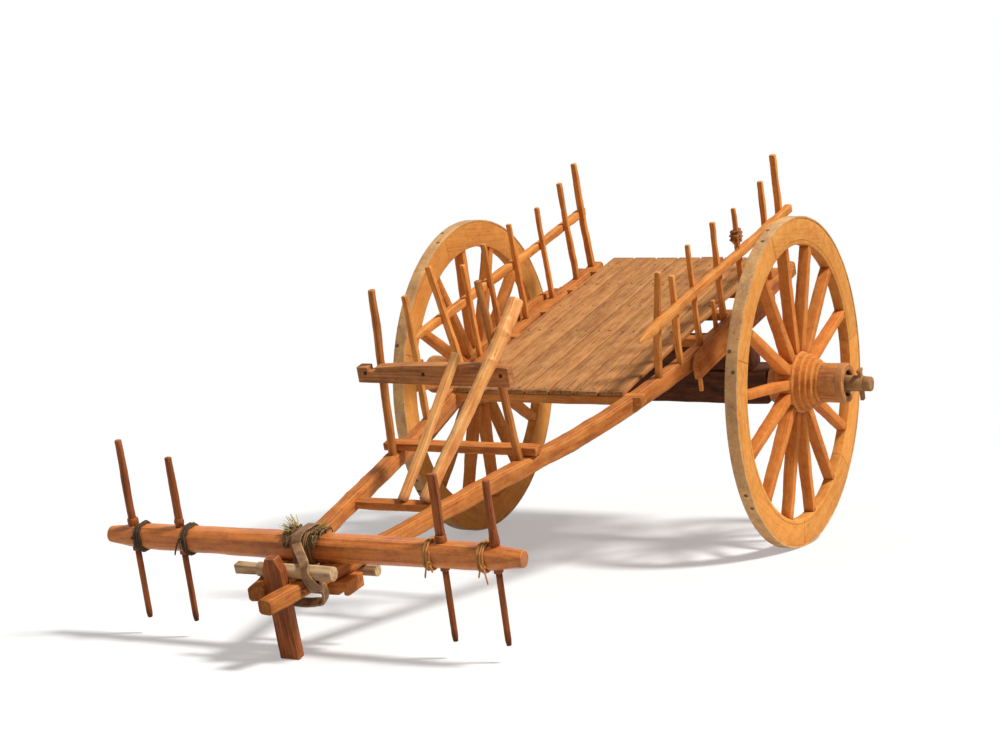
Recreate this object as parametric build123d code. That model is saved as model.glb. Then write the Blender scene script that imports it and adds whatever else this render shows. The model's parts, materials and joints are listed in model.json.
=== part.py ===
from build123d import *
import os
from math import asin, atan2, cos, degrees, hypot, radians, sin, sqrt

# A two-wheeled wooden bullock cart, in millimetres.
# The pieces are drawn with the bed level: X across the cart to its left, Y to the rear, Z up,
# with the ground under the axle's middle at the origin. At the end the body is tipped about
# the axle until the pole's leg stands on the ground, and the whole is centred along Y.

# Wheels
WHEEL_R = 730
TRACK = 1606
TYRE_T = 8
TYRE_W = 54
FELLOE_DEPTH = 116
FELLOE_W = 51
FELLOE_COUNT = 7
FELLOE_JOINT = 0.8
FELLOE_EDGE = 5
SPOKES_PER_FELLOE = 2
SPOKE_W_NAVE = 56
SPOKE_W_RIM = 49
SPOKE_T_NAVE = 43
SPOKE_T_RIM = 35
SPOKE_SEAT = 4
TENON_W = 32
TENON_T = 22
TENON_NAVE = 38

# Naves
NAVE_R = 135
NAVE_IN = 100
NAVE_OUT = 245
NOSE_R = 87.5
BACK_R = 92
NAVE_SEAT_IN = 39
NAVE_SEAT_OUT = 32
NAVE_FALL = 8
RING_STEP = 11
RING_WIDTHS = (27, 23, 21)
BAND_T = 4
BAND_W = 26
BAND_INSET = 8
BAND_PROUD = 1
LINER_T = 8
LINER_PROUD = 5
RECESS_R = 57
RECESS_DEEP = 22

# Axle, its bed and the linchpins
ARM_R = 35
ARM_CLEAR = 0.09
ARM_TIP = 1155
AXLE_W = 140
AXLE_BELOW = 85
AXLE_ABOVE = 70
SHOULDER_GAP = 8
LINCH_X = 1104
LINCH_T = 16
LINCH_W = 24
LINCH_UP = 58
LINCH_DOWN = 76
LINCH_HEAD = 9
BOLSTER_W = 118
BOLSTER_HALF = 625

# The two long beams, which are the bed's sides and converge into the pole
BED_HALF = 500
BED_REAR = 800
BEAM_W = 64
BEAM_H = 75
BEAM_H_TIP = 58
BEAM_Z = 975
PLAN_BEND_Y = -450
PLAN_BEND_R = 5900
RISE_BEND_Y = -1150
RISE_BEND_R = 6300
TIP_Z = 1117
TIP_LEFT_AHEAD = 160
TIP_RIGHT_AHEAD = 50
BEAM_EDGE = 9

# Pole leg, the peg behind it and what is tied under the pole
LEG_Y = -2950
LEG_W = 80
LEG_T = 40
LEG_BELOW = 267
LEG_ABOVE = 130
LEG_POINT = 45
LEG_HOUSING = 2
LEG_PIN_R = 9
LEG_PIN_PROUD = 16
PEG_R = 27.5
PEG_NEAR = 217
PEG_FAR = 196
PEG_SQUARE = 105
PEG_FLAT = 20
POLE_BAND_W = 34
BLOCK_LEN = 110
BLOCK_H = 52
BLOCK_HALF = 178
BLOCK_NOTCH = 22
BLOCK_NOTCH_DEEP = 14
BLOCK_NOTCH_INSET = 32
LOG_R = 23
LOG_BEHIND = 355
LOG_HALF = 195
SPREADER_Y = -2080
SPREADER_W = 50
SPREADER_H = 34
SPREADER_BELOW = 17

# Bed
CROSSBAR_W = 52
CROSSBAR_H = 40
CROSSBAR_PLACES = (-190, 130, 420)
CROSSBAR_REAR_INSET = 120
PLANK_COUNT = 7
PLANK_W = 112
PLANK_GAP = 5
PLANK_T = 22
FLOOR_FRONT = -890
CHEEK_T = 28
CHEEK_HALF = 450
CHEEK_LOW = 917
CHEEK_TOP = 1020
CHEEK_ARCH = 26
CHEEK_CORNER = 60
CHEEK_PEG_W = 16
CHEEK_PEG_UP = 12
CHEEK_PEG_DOWN = 62
CHEEK_PEG_INSET = 25
CHEEK_PEG_EDGE = 4
RAIL_X = 533
RAIL_Z = 1270
RAIL_W = 36
RAIL_H = 40
RAIL_FRONT = -915
RAIL_REAR = 800
RAIL_POINT = 60
RAIL_POINT_RISE = 14
STAKE_HOUSING = 5
STAKE_FOOT = 46
STAKE_TAPER = 0.85
STAKE_ROPE_T = 13
STAKE_ROPE_H = 62
STAKE_ROPE_UP = 12
STAKE_ROPE_CORNER = 8

# Front uprights, crossbar and the two poles that lean on it
TALL_Y = -1620
TALL_W = 34
TALL_TAPER = 0.9
TALL_FOOT = 50
TALL_FOOT_X = 292
TALL_TOP_X = 243
TALL_TOP_LEFT = 1791
TALL_TOP_RIGHT = 1752
SLEEPER_BEHIND = 60
SLEEPER_W = 56
SLEEPER_H = 36
SLEEPER_HALF = 350
BAR_HALF = 342
BAR_LOW = 1381
BAR_HIGH = 1461
BAR_T = 45
BAR_LUG = 50
BAR_NOTCH = 36
BAR_NOTCH_DEEP = 18
BAR_DIP = 14
BAR_HANG = 8
BAR_CROWN_X = 60
BAR_HOLE = 16
BAR_HOLE_INSET = 36
BAR_HOLE_MIDDLE = -40
LEAN_W = 33
LEAN_FOOT_X = 22
LEAN_HEAD_X = 118
LEAN_PAST = 45
LEAN_TRIM = 60
BRANCH_R = 28
BRANCH_SIDES = 12
BRANCH_FOOT_X = 128
BRANCH_KNEE_PAST = 90
BRANCH_END_X = 18
BRANCH_END_Y = 150
BRANCH_END_Z = 118
BRANCH_BEND_R = 260

# Yoke, its pins, rope and straps
YOKE_BEHIND = 230
YOKE_HALF = 885
YOKE_H = 98
YOKE_D = 94
YOKE_END = 64
YOKE_FLAT = 165
YOKE_SHOULDER_INSET = 135
YOKE_SLIM = 8
YOKE_EDGE = 0.24
PIN_OUTER_INSET = 110
PIN_INNER_INSET = 325
PIN_R = 12
PIN_NECK = 27
PIN_NECK_BELOW = 16
PIN_KNOB = 40
PIN_KNOB_H = 26
PIN_KNOB_EDGE = 10
PIN_STICK = 30
PIN_STICK_TOP = 26
PIN_BOARD_W = 35
PIN_BOARD_T = 20
PIN_BALL_R = 20
PIN_EDGE = 5
PIN_BELOW = 332
PIN_TIP = 4
BINDING_HALF = 45
BINDING_T = 12
LASH_W = 34
LASH_T = 9
STRAP_W = 40
STRAP_T = 6
STRAP_SLACK = 0.9
STRAP_SLOPE = 24
THONG_W = 24
THONG_T = 10
THONG_IN = 14
THONG_TURNS = (22.5, 67.5)
SWIVEL = 20
MOVE_GAP = 5
FIT = 0.3

# What follows from those sizes
FELLOE_OUT = WHEEL_R - TYRE_T
FELLOE_IN = FELLOE_OUT - FELLOE_DEPTH
SPOKE_COUNT = FELLOE_COUNT * SPOKES_PER_FELLOE
RIM_X = TRACK / 2
LINER_IN = ARM_R + ARM_CLEAR
LINER_OUT = LINER_IN + LINER_T
BEAM_TOP = BEAM_Z + BEAM_H / 2
BEAM_LOW = BEAM_Z - BEAM_H / 2
TIP_LEFT_Y = LEG_Y - TIP_LEFT_AHEAD
TIP_RIGHT_Y = LEG_Y - TIP_RIGHT_AHEAD
LOG_Y = LEG_Y + LOG_BEHIND
SLEEPER_Y = TALL_Y + SLEEPER_BEHIND
YOKE_Y = LEG_Y + YOKE_BEHIND
RISE = (TIP_Z - BEAM_Z) / (RISE_BEND_Y - TIP_LEFT_Y)
PITCH = degrees(atan2(TIP_Z - BEAM_Z, RISE_BEND_Y - TIP_LEFT_Y))
POLE_X = LEG_W / 2 - LEG_HOUSING + BEAM_W / 2
SPLAY = (BED_HALF - POLE_X) / (PLAN_BEND_Y - LEG_Y)


def block(x, y, z):
    """A box between two values on each axis."""
    size = (x[1] - x[0], y[1] - y[0], z[1] - z[0])
    middle = (sum(x) / 2, sum(y) / 2, sum(z) / 2)
    return Pos(*middle) * Box(*size)


def bar(start, end, across, deep, across_end=None, deep_end=None, edge=0):
    """A straight timber between two points; across is its size along X."""
    start, end = Vector(*start), Vector(*end)
    along = (end - start).normalized()
    side = (Vector(1, 0, 0) - along * along.X).normalized()
    faces = []
    for point, a, d in ((start, across, deep), (end, across_end or across, deep_end or deep)):
        outline = Rectangle(a, d)
        if edge:
            outline = chamfer(outline.vertices(), edge)
        faces.append(Plane(origin=point, x_dir=side, z_dir=along) * outline)
    return loft(faces, ruled=True)


def rod(start, end, radius):
    """A round bar between two points."""
    start, end = Vector(*start), Vector(*end)
    return extrude(Plane(origin=start, z_dir=end - start) * Circle(radius), (end - start).length)


def beam_x(y):
    """The beam's centre line in plan, without the bend's rounding."""
    return min(BED_HALF, POLE_X + SPLAY * (y - LEG_Y))


def beam_z(y):
    """The beam's centre line in height, without the bend's rounding."""
    return BEAM_Z + max(0, RISE * (RISE_BEND_Y - y))


def beam_half_height(y):
    """Half the beam's height, which tapers from the bend to the tip."""
    share = max(0, (RISE_BEND_Y - y) / (RISE_BEND_Y - TIP_LEFT_Y))
    return (BEAM_H - (BEAM_H - BEAM_H_TIP) * share) / 2


# Wheels, drawn about the X axis with +X outboard and the rim's middle at X = 0

def turned(points):
    """A closed profile of (x, radius) points, turned about the X axis."""
    return revolve(make_face(Polyline(*[(x, r) for x, r in points], close=True)), Axis.X)


def wheel_ring(r_in, r_out, width, x=0):
    """A plain ring about the X axis."""
    half = width / 2
    return turned([(x - half, r_in), (x + half, r_in), (x + half, r_out), (x - half, r_out)])


def felloes():
    """Seven rim pieces with bevelled inner edges and a mortise for each spoke's tenon."""
    half = FELLOE_W / 2
    ring = turned([(-half, FELLOE_IN + FELLOE_EDGE), (-half + FELLOE_EDGE, FELLOE_IN),
                   (half - FELLOE_EDGE, FELLOE_IN), (half, FELLOE_IN + FELLOE_EDGE),
                   (half, FELLOE_OUT), (-half, FELLOE_OUT)])
    for i in range(FELLOE_COUNT):
        joint = block((-FELLOE_W, FELLOE_W), (-FELLOE_JOINT / 2, FELLOE_JOINT / 2), (0, WHEEL_R))
        ring -= Rot(X=(i + 0.5) * 360 / FELLOE_COUNT) * joint
    for i in range(SPOKE_COUNT):
        ring -= Rot(X=spoke_angle(i)) * tenon(FELLOE_IN - FELLOE_EDGE, WHEEL_R)
    return ring


def spoke_angle(i):
    """Spokes stand in pairs, evenly round the wheel and clear of the felloe joints."""
    return (i + 0.5) * 360 / SPOKE_COUNT


def tenon(low, high):
    """The square end of a spoke between two radii."""
    return block((-TENON_W / 2, TENON_W / 2), (-TENON_T / 2, TENON_T / 2), (low, high))


def spoke():
    """One spoke along +Z: a shaft that tapers to the rim, with a tenon at each end."""
    shoulder = sqrt(FELLOE_IN ** 2 - (SPOKE_T_RIM / 2) ** 2) - FIT
    tenon_end = sqrt(FELLOE_OUT ** 2 - (TENON_T / 2) ** 2) - FIT
    shaft = bar((0, 0, NAVE_R - SPOKE_SEAT), (0, 0, shoulder), SPOKE_W_NAVE, SPOKE_T_NAVE,
                SPOKE_W_RIM, SPOKE_T_RIM)
    return shaft + tenon(NAVE_R - TENON_NAVE, tenon_end)


def socket():
    """What one spoke takes out of the nave: a shallow seat for its foot and a mortise."""
    seat = block((-SPOKE_W_NAVE / 2, SPOKE_W_NAVE / 2), (-SPOKE_T_NAVE / 2, SPOKE_T_NAVE / 2),
                 (NAVE_R - SPOKE_SEAT, 2 * NAVE_R))
    return seat + tenon(NAVE_R - TENON_NAVE, NAVE_R)


def nave():
    """The turned hub: a fat seat for the spokes, stepped rings and a long nose."""
    profile = [(-NAVE_IN, LINER_OUT), (-NAVE_IN, BACK_R), (-NAVE_IN + BAND_INSET + BAND_W, BACK_R),
               (-NAVE_SEAT_IN, NAVE_R), (NAVE_SEAT_OUT, NAVE_R)]
    x, radius = NAVE_SEAT_OUT + NAVE_FALL, NAVE_R
    for width in RING_WIDTHS:
        radius -= RING_STEP
        profile += [(x, radius), (x + width, radius)]
        x += width
    floor = NAVE_OUT - RECESS_DEEP
    profile += [(x + NAVE_FALL, NOSE_R), (NAVE_OUT, NOSE_R), (NAVE_OUT, RECESS_R), (floor, RECESS_R),
                (floor, LINER_OUT)]
    hub = turned(profile)
    for x in band_places():
        radius = NOSE_R if x > 0 else BACK_R
        hub -= wheel_ring(radius - BAND_T, NAVE_R, BAND_W, x)
    for i in range(SPOKE_COUNT):
        hub -= Rot(X=spoke_angle(i)) * socket()
    return hub


def band_places():
    """The middle of each iron band along the nave."""
    return (-NAVE_IN + BAND_INSET / 2 + BAND_W / 2, NAVE_OUT - BAND_INSET - BAND_W / 2)


def nave_bands():
    """Two iron hoops let into the nave's ends."""
    rings = []
    for x in band_places():
        radius = NOSE_R if x > 0 else BACK_R
        rings.append(wheel_ring(radius - BAND_T, radius + BAND_PROUD, BAND_W, x))
    return Compound(rings)


def wheel_pieces():
    """Each piece of one wheel, by name."""
    shape = spoke()
    liner_width = NAVE_IN + NAVE_OUT - RECESS_DEEP + 2 * LINER_PROUD
    return {
        "tyre": wheel_ring(FELLOE_OUT, WHEEL_R, TYRE_W),
        "felloes": felloes(),
        "spokes": Compound([Rot(X=spoke_angle(i)) * shape for i in range(SPOKE_COUNT)]),
        "nave": nave(),
        "nave_bands": nave_bands(),
        "nave_liner": wheel_ring(LINER_IN, LINER_OUT, liner_width, (NAVE_OUT - RECESS_DEEP - NAVE_IN) / 2),
    }


# Axle and bolster

def axle():
    """A deep axle-tree whose ends are turned down to round arms, slotted for the linchpins."""
    shoulder = RIM_X - NAVE_IN - LINER_PROUD - SHOULDER_GAP
    tree = block((-shoulder, shoulder), (-AXLE_W / 2, AXLE_W / 2),
                 (WHEEL_R - AXLE_BELOW, WHEEL_R + AXLE_ABOVE))
    tree += rod((-ARM_TIP, 0, WHEEL_R), (ARM_TIP, 0, WHEEL_R), ARM_R)
    for side in (1, -1):
        tree -= linchpin_blank(side)
    return tree


def linchpin_blank(side):
    """The flat pin through an axle arm, without its head."""
    x = side * LINCH_X
    return block((x - LINCH_T / 2, x + LINCH_T / 2), (-LINCH_W / 2, LINCH_W / 2),
                 (WHEEL_R - LINCH_DOWN, WHEEL_R + LINCH_UP))


def linchpin(side):
    """The pin that keeps a wheel on, with a wider head."""
    x = side * LINCH_X
    top = WHEEL_R + LINCH_UP
    head = block((x - LINCH_T / 2, x + LINCH_T / 2), (-LINCH_W / 2 - LINCH_HEAD, LINCH_W / 2 + LINCH_HEAD),
                 (top - LINCH_HEAD / 2, top + LINCH_HEAD))
    return linchpin_blank(side) + head


def bolster():
    """The block that carries the beams on the axle."""
    return block((-BOLSTER_HALF, BOLSTER_HALF), (-BOLSTER_W / 2, BOLSTER_W / 2),
                 (WHEEL_R + AXLE_ABOVE, BEAM_LOW))


# Beams and what crosses them

def beam(tip_y):
    """One long beam on the +X side, bent inwards and upwards ahead of the bed."""
    skew = atan2(SPLAY, 1)
    edges = []
    for side in (1, -1):
        half = side * BEAM_W / 2
        shift = half / cos(skew)
        bend_y = PLAN_BEND_Y - (shift - half) / SPLAY
        front_y = tip_y - BEAM_W
        front_x = POLE_X + SPLAY * (front_y - LEG_Y) + shift
        points = [(BED_HALF + half, BED_REAR), (BED_HALF + half, bend_y), (front_x, front_y)]
        edges.append(FilletPolyline(*points, radius=PLAN_BEND_R + half))
    plan_wire = edges[0] + edges[1] + Line(edges[0] @ 0, edges[1] @ 0) + Line(edges[0] @ 1, edges[1] @ 1)
    plan = extrude(make_face(plan_wire), 2 * TIP_Z)

    lines = []
    for side in (1, -1):
        front_y = TIP_LEFT_Y
        points = [(BED_REAR, BEAM_Z + side * BEAM_H / 2), (RISE_BEND_Y, BEAM_Z + side * BEAM_H / 2),
                  (front_y, TIP_Z + side * BEAM_H_TIP / 2)]
        lines.append(FilletPolyline(*points, radius=RISE_BEND_R))
    side_wire = lines[0] + lines[1] + Line(lines[0] @ 0, lines[1] @ 0) + Line(lines[0] @ 1, lines[1] @ 1)
    side_face = make_face(Plane.YZ * side_wire)
    timber = plan & extrude(side_face, BED_HALF + BEAM_W)
    timber &= block((-BEAM_W, BED_HALF + BEAM_W), (tip_y, BED_REAR), (0, 2 * TIP_Z))
    long_edges = [e for e in timber.edges() if e.length > BEAM_W * 4]
    return chamfer(long_edges, BEAM_EDGE)


def crossbar_rows():
    """The bed's crossbars: place along Y and half length."""
    inside = BED_HALF + BEAM_W / 2
    front = (FLOOR_FRONT + CROSSBAR_W / 2, beam_x(FLOOR_FRONT) + BEAM_W)
    rear = (BED_REAR - CROSSBAR_REAR_INSET, BED_HALF + BEAM_W)
    return [front] + [(y, inside) for y in CROSSBAR_PLACES] + [rear]


def bed_crossbars():
    """Square bars let in flush with the tops of the beams."""
    return [block((-half, half), (y - CROSSBAR_W / 2, y + CROSSBAR_W / 2), (BEAM_TOP - CROSSBAR_H, BEAM_TOP))
            for y, half in crossbar_rows()]


def floor_planks():
    """Planks laid lengthwise on the crossbars and beams."""
    pitch = PLANK_W + PLANK_GAP
    planks = []
    for i in range(PLANK_COUNT):
        x = (i - (PLANK_COUNT - 1) / 2) * pitch
        planks.append(block((x - PLANK_W / 2, x + PLANK_W / 2), (FLOOR_FRONT, BED_REAR),
                            (BEAM_TOP, BEAM_TOP + PLANK_T)))
    return planks


def cheek():
    """The arched plank outside the left beam, over the axle."""
    x = BED_HALF + BEAM_W / 2
    shoulder = CHEEK_TOP - CHEEK_CORNER
    inner = CHEEK_HALF - CHEEK_CORNER
    top = ThreePointArc((-inner, CHEEK_TOP), (0, CHEEK_TOP + CHEEK_ARCH), (inner, CHEEK_TOP))
    front = RadiusArc((-CHEEK_HALF, shoulder), (-inner, CHEEK_TOP), CHEEK_CORNER)
    rear = RadiusArc((inner, CHEEK_TOP), (CHEEK_HALF, shoulder), CHEEK_CORNER)
    base = Polyline((CHEEK_HALF, shoulder), (CHEEK_HALF, CHEEK_LOW), (-CHEEK_HALF, CHEEK_LOW),
                    (-CHEEK_HALF, shoulder))
    face = make_face(Plane.YZ * (top + front + rear + base))
    return Pos(x, 0, 0) * extrude(face, CHEEK_T, dir=(1, 0, 0)) - bolster()


def cheek_peg(y):
    """A squared peg let into the cheek's edge, standing out below it."""
    x = BED_HALF + BEAM_W / 2 + CHEEK_T / 2
    return bar((x, y, CHEEK_LOW - CHEEK_PEG_DOWN), (x, y, CHEEK_LOW + CHEEK_PEG_UP), CHEEK_PEG_W, CHEEK_PEG_W,
               edge=CHEEK_PEG_EDGE)


# Side stakes: place along Y, height of the top, width along Y and depth along X
LEFT_STAKES = ((-660, 1482, 30, 34), (-490, 1405, 27, 30), (-285, 1470, 25, 28), (-100, 1150, 20, 22),
               (-10, 1478, 27, 30), (230, 1462, 25, 28), (560, 1480, 27, 30), (740, 1550, 30, 34))
ROPED_STAKE = LEFT_STAKES[5]
RIGHT_STAKES = ((-1180, 1565, 28, 30), (-680, 1515, 30, 34), (-450, 1440, 26, 28), (-240, 1465, 26, 28),
                (20, 1470, 27, 30), (300, 1455, 25, 28), (560, 1490, 27, 30), (740, 1530, 30, 34))


def stake(y, top, width, depth):
    """One side stake on the +X side, from its mortise in the beam up past the rail."""
    foot_x = beam_x(y)
    rail_face = RAIL_X - RAIL_W / 2 + STAKE_HOUSING
    lean = (rail_face - depth / 2 - foot_x) / (RAIL_Z - BEAM_Z) if y > RAIL_FRONT else 0
    start_z = BEAM_TOP - STAKE_FOOT
    start = (foot_x + lean * (start_z - BEAM_Z), y, start_z)
    end = (foot_x + lean * (top - BEAM_Z), y, top)
    return bar(start, end, depth, width, depth * STAKE_TAPER, width * STAKE_TAPER)


def rail(stakes):
    """The top rail outside the stakes, with a pointed front end, housed over each stake."""
    timber = block((RAIL_X - RAIL_W / 2, RAIL_X + RAIL_W / 2), (RAIL_FRONT, RAIL_REAR),
                   (RAIL_Z - RAIL_H / 2, RAIL_Z + RAIL_H / 2))
    front = timber.faces().sort_by(Axis.Y)[0]
    timber = chamfer(front.edges().group_by(Axis.Z)[-1], RAIL_POINT_RISE, RAIL_POINT)
    for post in stakes:
        timber -= post
    return timber


def stake_rope():
    """A short rope wound round one left stake above the rail."""
    y, top, width, depth = ROPED_STAKE
    low = RAIL_Z + RAIL_H / 2 + STAKE_ROPE_UP
    post = stake(*ROPED_STAKE)
    middle = post.bounding_box().center()
    size = (depth / 2 + STAKE_ROPE_T, width / 2 + STAKE_ROPE_T)
    wound = block((middle.X - size[0], middle.X + size[0]), (y - size[1], y + size[1]), (low, low + STAKE_ROPE_H))
    return chamfer(wound.edges().filter_by(Axis.Z), STAKE_ROPE_CORNER) - post


# Front

def tall_stake(side, top):
    """A tall square stake on a beam, leaning inwards."""
    start_z = beam_z(TALL_Y) + beam_half_height(TALL_Y) - TALL_FOOT
    return bar((side * TALL_FOOT_X, TALL_Y, start_z), (side * TALL_TOP_X, TALL_Y, top), TALL_W, TALL_W,
               TALL_W * TALL_TAPER, TALL_W)


def front_crossbar():
    """The bowed plank in front of the tall stakes, with a lug, a notch and spare mortises."""
    notch = BAR_LUG - BAR_HALF
    bow = notch + BAR_NOTCH
    shoulder = BAR_HIGH - BAR_DIP
    crown = ThreePointArc((bow, shoulder), (BAR_CROWN_X, BAR_HIGH), (BAR_HALF, shoulder + BAR_DIP / 2))
    rest = Polyline((BAR_HALF, shoulder + BAR_DIP / 2), (BAR_HALF, BAR_LOW - BAR_HANG), (-BAR_HALF, BAR_LOW),
                    (-BAR_HALF, shoulder), (notch, shoulder), (notch, shoulder - BAR_NOTCH_DEEP),
                    (bow, shoulder - BAR_NOTCH_DEEP), (bow, shoulder))
    face = make_face(Plane.XZ * (crown + rest))
    rear = TALL_Y - TALL_W / 2
    plank = Pos(0, rear, 0) * extrude(face, BAR_T, dir=(0, -1, 0))
    z = (BAR_LOW + BAR_HIGH) / 2
    for x in (BAR_HOLE_INSET - BAR_HALF, BAR_HOLE_MIDDLE, BAR_HALF - BAR_HOLE_INSET):
        plank -= block((x - BAR_HOLE / 2, x + BAR_HOLE / 2), (rear - BAR_T, rear),
                       (z - BAR_HOLE / 2, z + BAR_HOLE / 2))
    return plank


def front_sleeper():
    """The bar across the beams behind the tall stakes."""
    top = beam_z(SLEEPER_Y) + beam_half_height(SLEEPER_Y) + SLEEPER_H / 2
    return block((-SLEEPER_HALF, SLEEPER_HALF), (SLEEPER_Y - SLEEPER_W / 2, SLEEPER_Y + SLEEPER_W / 2),
                 (top - SLEEPER_H, top))


def spreader_top():
    """The height of the spreader's top, a little below the beams' tops."""
    return beam_z(SPREADER_Y) + beam_half_height(SPREADER_Y) - SPREADER_BELOW


def spreader():
    """The bar between the beams that the leaning poles stand on."""
    half = beam_x(SPREADER_Y)
    top = spreader_top()
    return block((-half, half), (SPREADER_Y - SPREADER_W / 2, SPREADER_Y + SPREADER_W / 2),
                 (top - SPREADER_H, top))


def lean_line(thickness):
    """Where a leaning pole's centre line meets the spreader's top and the crossbar's front edge."""
    foot = (SPREADER_Y, spreader_top())
    edge = (TALL_Y - TALL_W / 2 - BAR_T, BAR_HIGH)
    angle = atan2(edge[1] - foot[1], edge[0] - foot[0])
    out = thickness / 2 + FIT
    high = (edge[0] - out * sin(angle), edge[1] + out * cos(angle))
    return foot, high, angle


def below(top_z):
    """A block that trims a leaning pole's foot flat on the spreader."""
    return block((-BED_HALF, BED_HALF), (TIP_LEFT_Y, 0), (0, top_z))


def leaning_pole():
    """The thin squared pole from the spreader to the crossbar's top."""
    foot, high, angle = lean_line(LEAN_W)
    low = (LEAN_FOOT_X, foot[0] - LEAN_TRIM * cos(angle) - LEAN_W / 2 * sin(angle),
           foot[1] - LEAN_TRIM * sin(angle) + LEAN_W / 2 * cos(angle))
    end = (LEAN_HEAD_X, high[0] + LEAN_PAST * cos(angle), high[1] + LEAN_PAST * sin(angle))
    return bar(low, end, LEAN_W, LEAN_W) - below(foot[1])


def leaning_branch():
    """The natural branch that leans on the crossbar, clear of the left tall stake."""
    foot, high, angle = lean_line(2 * BRANCH_R)
    low = (BRANCH_FOOT_X, foot[0] - LEAN_TRIM * cos(angle) - BRANCH_R * sin(angle),
           foot[1] - LEAN_TRIM * sin(angle) + BRANCH_R * cos(angle))
    knee_x = (TALL_FOOT_X + TALL_TOP_X + TALL_W) / 2 + BRANCH_R - MOVE_GAP
    knee = (knee_x, high[0] + BRANCH_KNEE_PAST * cos(angle), high[1] + BRANCH_KNEE_PAST * sin(angle))
    end = (knee_x + BRANCH_END_X, knee[1] + BRANCH_END_Y, knee[2] + BRANCH_END_Z)
    path = FilletPolyline(low, knee, end, radius=BRANCH_BEND_R)
    section = Plane(origin=path @ 0, z_dir=path % 0) * RegularPolygon(BRANCH_R, BRANCH_SIDES)
    return sweep(section, path) - below(foot[1])


# Pole head

def pole_leg():
    """The board that the parked cart stands on, with a pointed top."""
    foot, top = beam_z(LEG_Y) - LEG_BELOW, beam_z(LEG_Y) + LEG_ABOVE
    half = LEG_W / 2
    outline = Polyline((-half, foot), (half, foot), (half, top - LEG_POINT), (half / 2, top),
                       (-half / 2, top), (-half, top - LEG_POINT), close=True)
    face = make_face(Plane.XZ * outline)
    return Pos(0, LEG_Y + LEG_T / 2, 0) * extrude(face, LEG_T)


def leg_pin_blank():
    """A peg through both beams and the leg."""
    z = beam_z(LEG_Y)
    half = POLE_X + BEAM_W / 2 + LEG_PIN_PROUD
    return rod((-half, LEG_Y, z), (half, LEG_Y, z), LEG_PIN_R)


def peg_centre():
    """Where the grey peg lies on the beams, close behind the leg."""
    y = LEG_Y + LEG_T / 2 + FIT + PEG_R
    return y, beam_z(y) + beam_half_height(y) + (PEG_R + FIT) / cos(radians(PITCH))


def pole_peg():
    """A weathered peg across the pole, round on the left and hewn square on the right."""
    y, z = peg_centre()
    round_part = rod((PEG_NEAR, y, z), (-PEG_SQUARE, y, z), PEG_R)
    square = block((-PEG_FAR, -PEG_SQUARE), (y - PEG_FLAT, y + PEG_FLAT), (z - PEG_FLAT, z + PEG_FLAT))
    return round_part + square


def on_pole(y, low=False):
    """A frame whose XY plane lies on the beams' top, or under them, at one place along the pole."""
    side = -1 if low else 1
    z = beam_z(y) + side * beam_half_height(y)
    slope = RISE + side * (BEAM_H_TIP - BEAM_H) / 2 / (RISE_BEND_Y - TIP_LEFT_Y)
    return Pos(0, y, z) * Rot(X=-degrees(atan2(slope, 1)))


def under_block():
    """The notched cross piece under the pole that the yoke's strap passes round."""
    shape = block((-BLOCK_HALF, BLOCK_HALF), (-BLOCK_LEN / 2, BLOCK_LEN / 2), (-BLOCK_H, 0))
    for side in (1, -1):
        x = side * (BLOCK_HALF - BLOCK_NOTCH_INSET)
        shape -= block((x - BLOCK_NOTCH / 2, x + BLOCK_NOTCH / 2), (-BLOCK_LEN, BLOCK_LEN),
                       (-BLOCK_H, -BLOCK_H + BLOCK_NOTCH_DEEP))
    y = YOKE_Y - 2 * beam_half_height(YOKE_Y) * RISE
    return on_pole(y, low=True) * shape


def under_log():
    """The round cross piece tied under the pole behind the block."""
    place = on_pole(LOG_Y, low=True)
    return place * rod((-LOG_HALF, 0, -LOG_R - FIT), (LOG_HALF, 0, -LOG_R - FIT), LOG_R)


def pole_strap():
    """A rawhide band round both beams behind the peg, and its thong up before the peg to the yoke's strap."""
    front = peg_centre()[0] + PEG_R + FIT
    rear = front + POLE_BAND_W
    half = beam_x(rear) + BEAM_W / 2 / cos(atan2(SPLAY, 1)) + FIT
    inside = Rectangle(2 * half, 2 * beam_half_height(front) + 2 * FIT)
    band = offset(inside, STRAP_T, kind=Kind.INTERSECTION) - inside
    y = (front + rear) / 2
    strap = Pos(0, y, beam_z(y)) * Rot(X=90 - PITCH) * extrude(band, POLE_BAND_W / 2, both=True)
    peg_y, peg_z = peg_centre()
    outside = half + THONG_W / 2
    reach = PEG_R + FIT + THONG_T / 2
    hold_y, hold_z = strap_outline()[1]
    head = (on_pole(YOKE_Y) * Pos(THONG_IN, -hold_y - STRAP_T - FIT - THONG_T / 2, hold_z)).position
    route = [tuple(head)]
    for turn in THONG_TURNS:
        far = reach / cos(radians(THONG_TURNS[0]))
        route.append((outside - THONG_IN, peg_y - far * sin(radians(turn)), peg_z + far * cos(radians(turn))))
    route += [(outside, peg_y - reach, peg_z - PEG_R), (outside, y, beam_z(y) - beam_half_height(front))]
    for start, end in zip(route, route[1:]):
        strap += bar(start, end, THONG_W, THONG_T)
    for corner in route[1:-1]:
        strap += Pos(*corner) * Rot(Y=90) * Cylinder(THONG_T / 2, THONG_W)
    return strap


# Yoke, drawn about its swivel: the origin is on the beams' tops and Z is the swivel axis

YOKE_Z = FIT + YOKE_H / 2
YOKE_SHOULDER = YOKE_HALF - YOKE_SHOULDER_INSET

# Each pin's name, place along the yoke, height above its middle, and what its stick is like
YOKE_PINS = (("left_outer", YOKE_HALF - PIN_OUTER_INSET, 285, "stick"),
             ("left_inner", YOKE_HALF - PIN_INNER_INSET, 300, "board"),
             ("right_inner", PIN_INNER_INSET - YOKE_HALF, 320, "ball"),
             ("right_outer", PIN_OUTER_INSET - YOKE_HALF, 380, "stick"))


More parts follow.
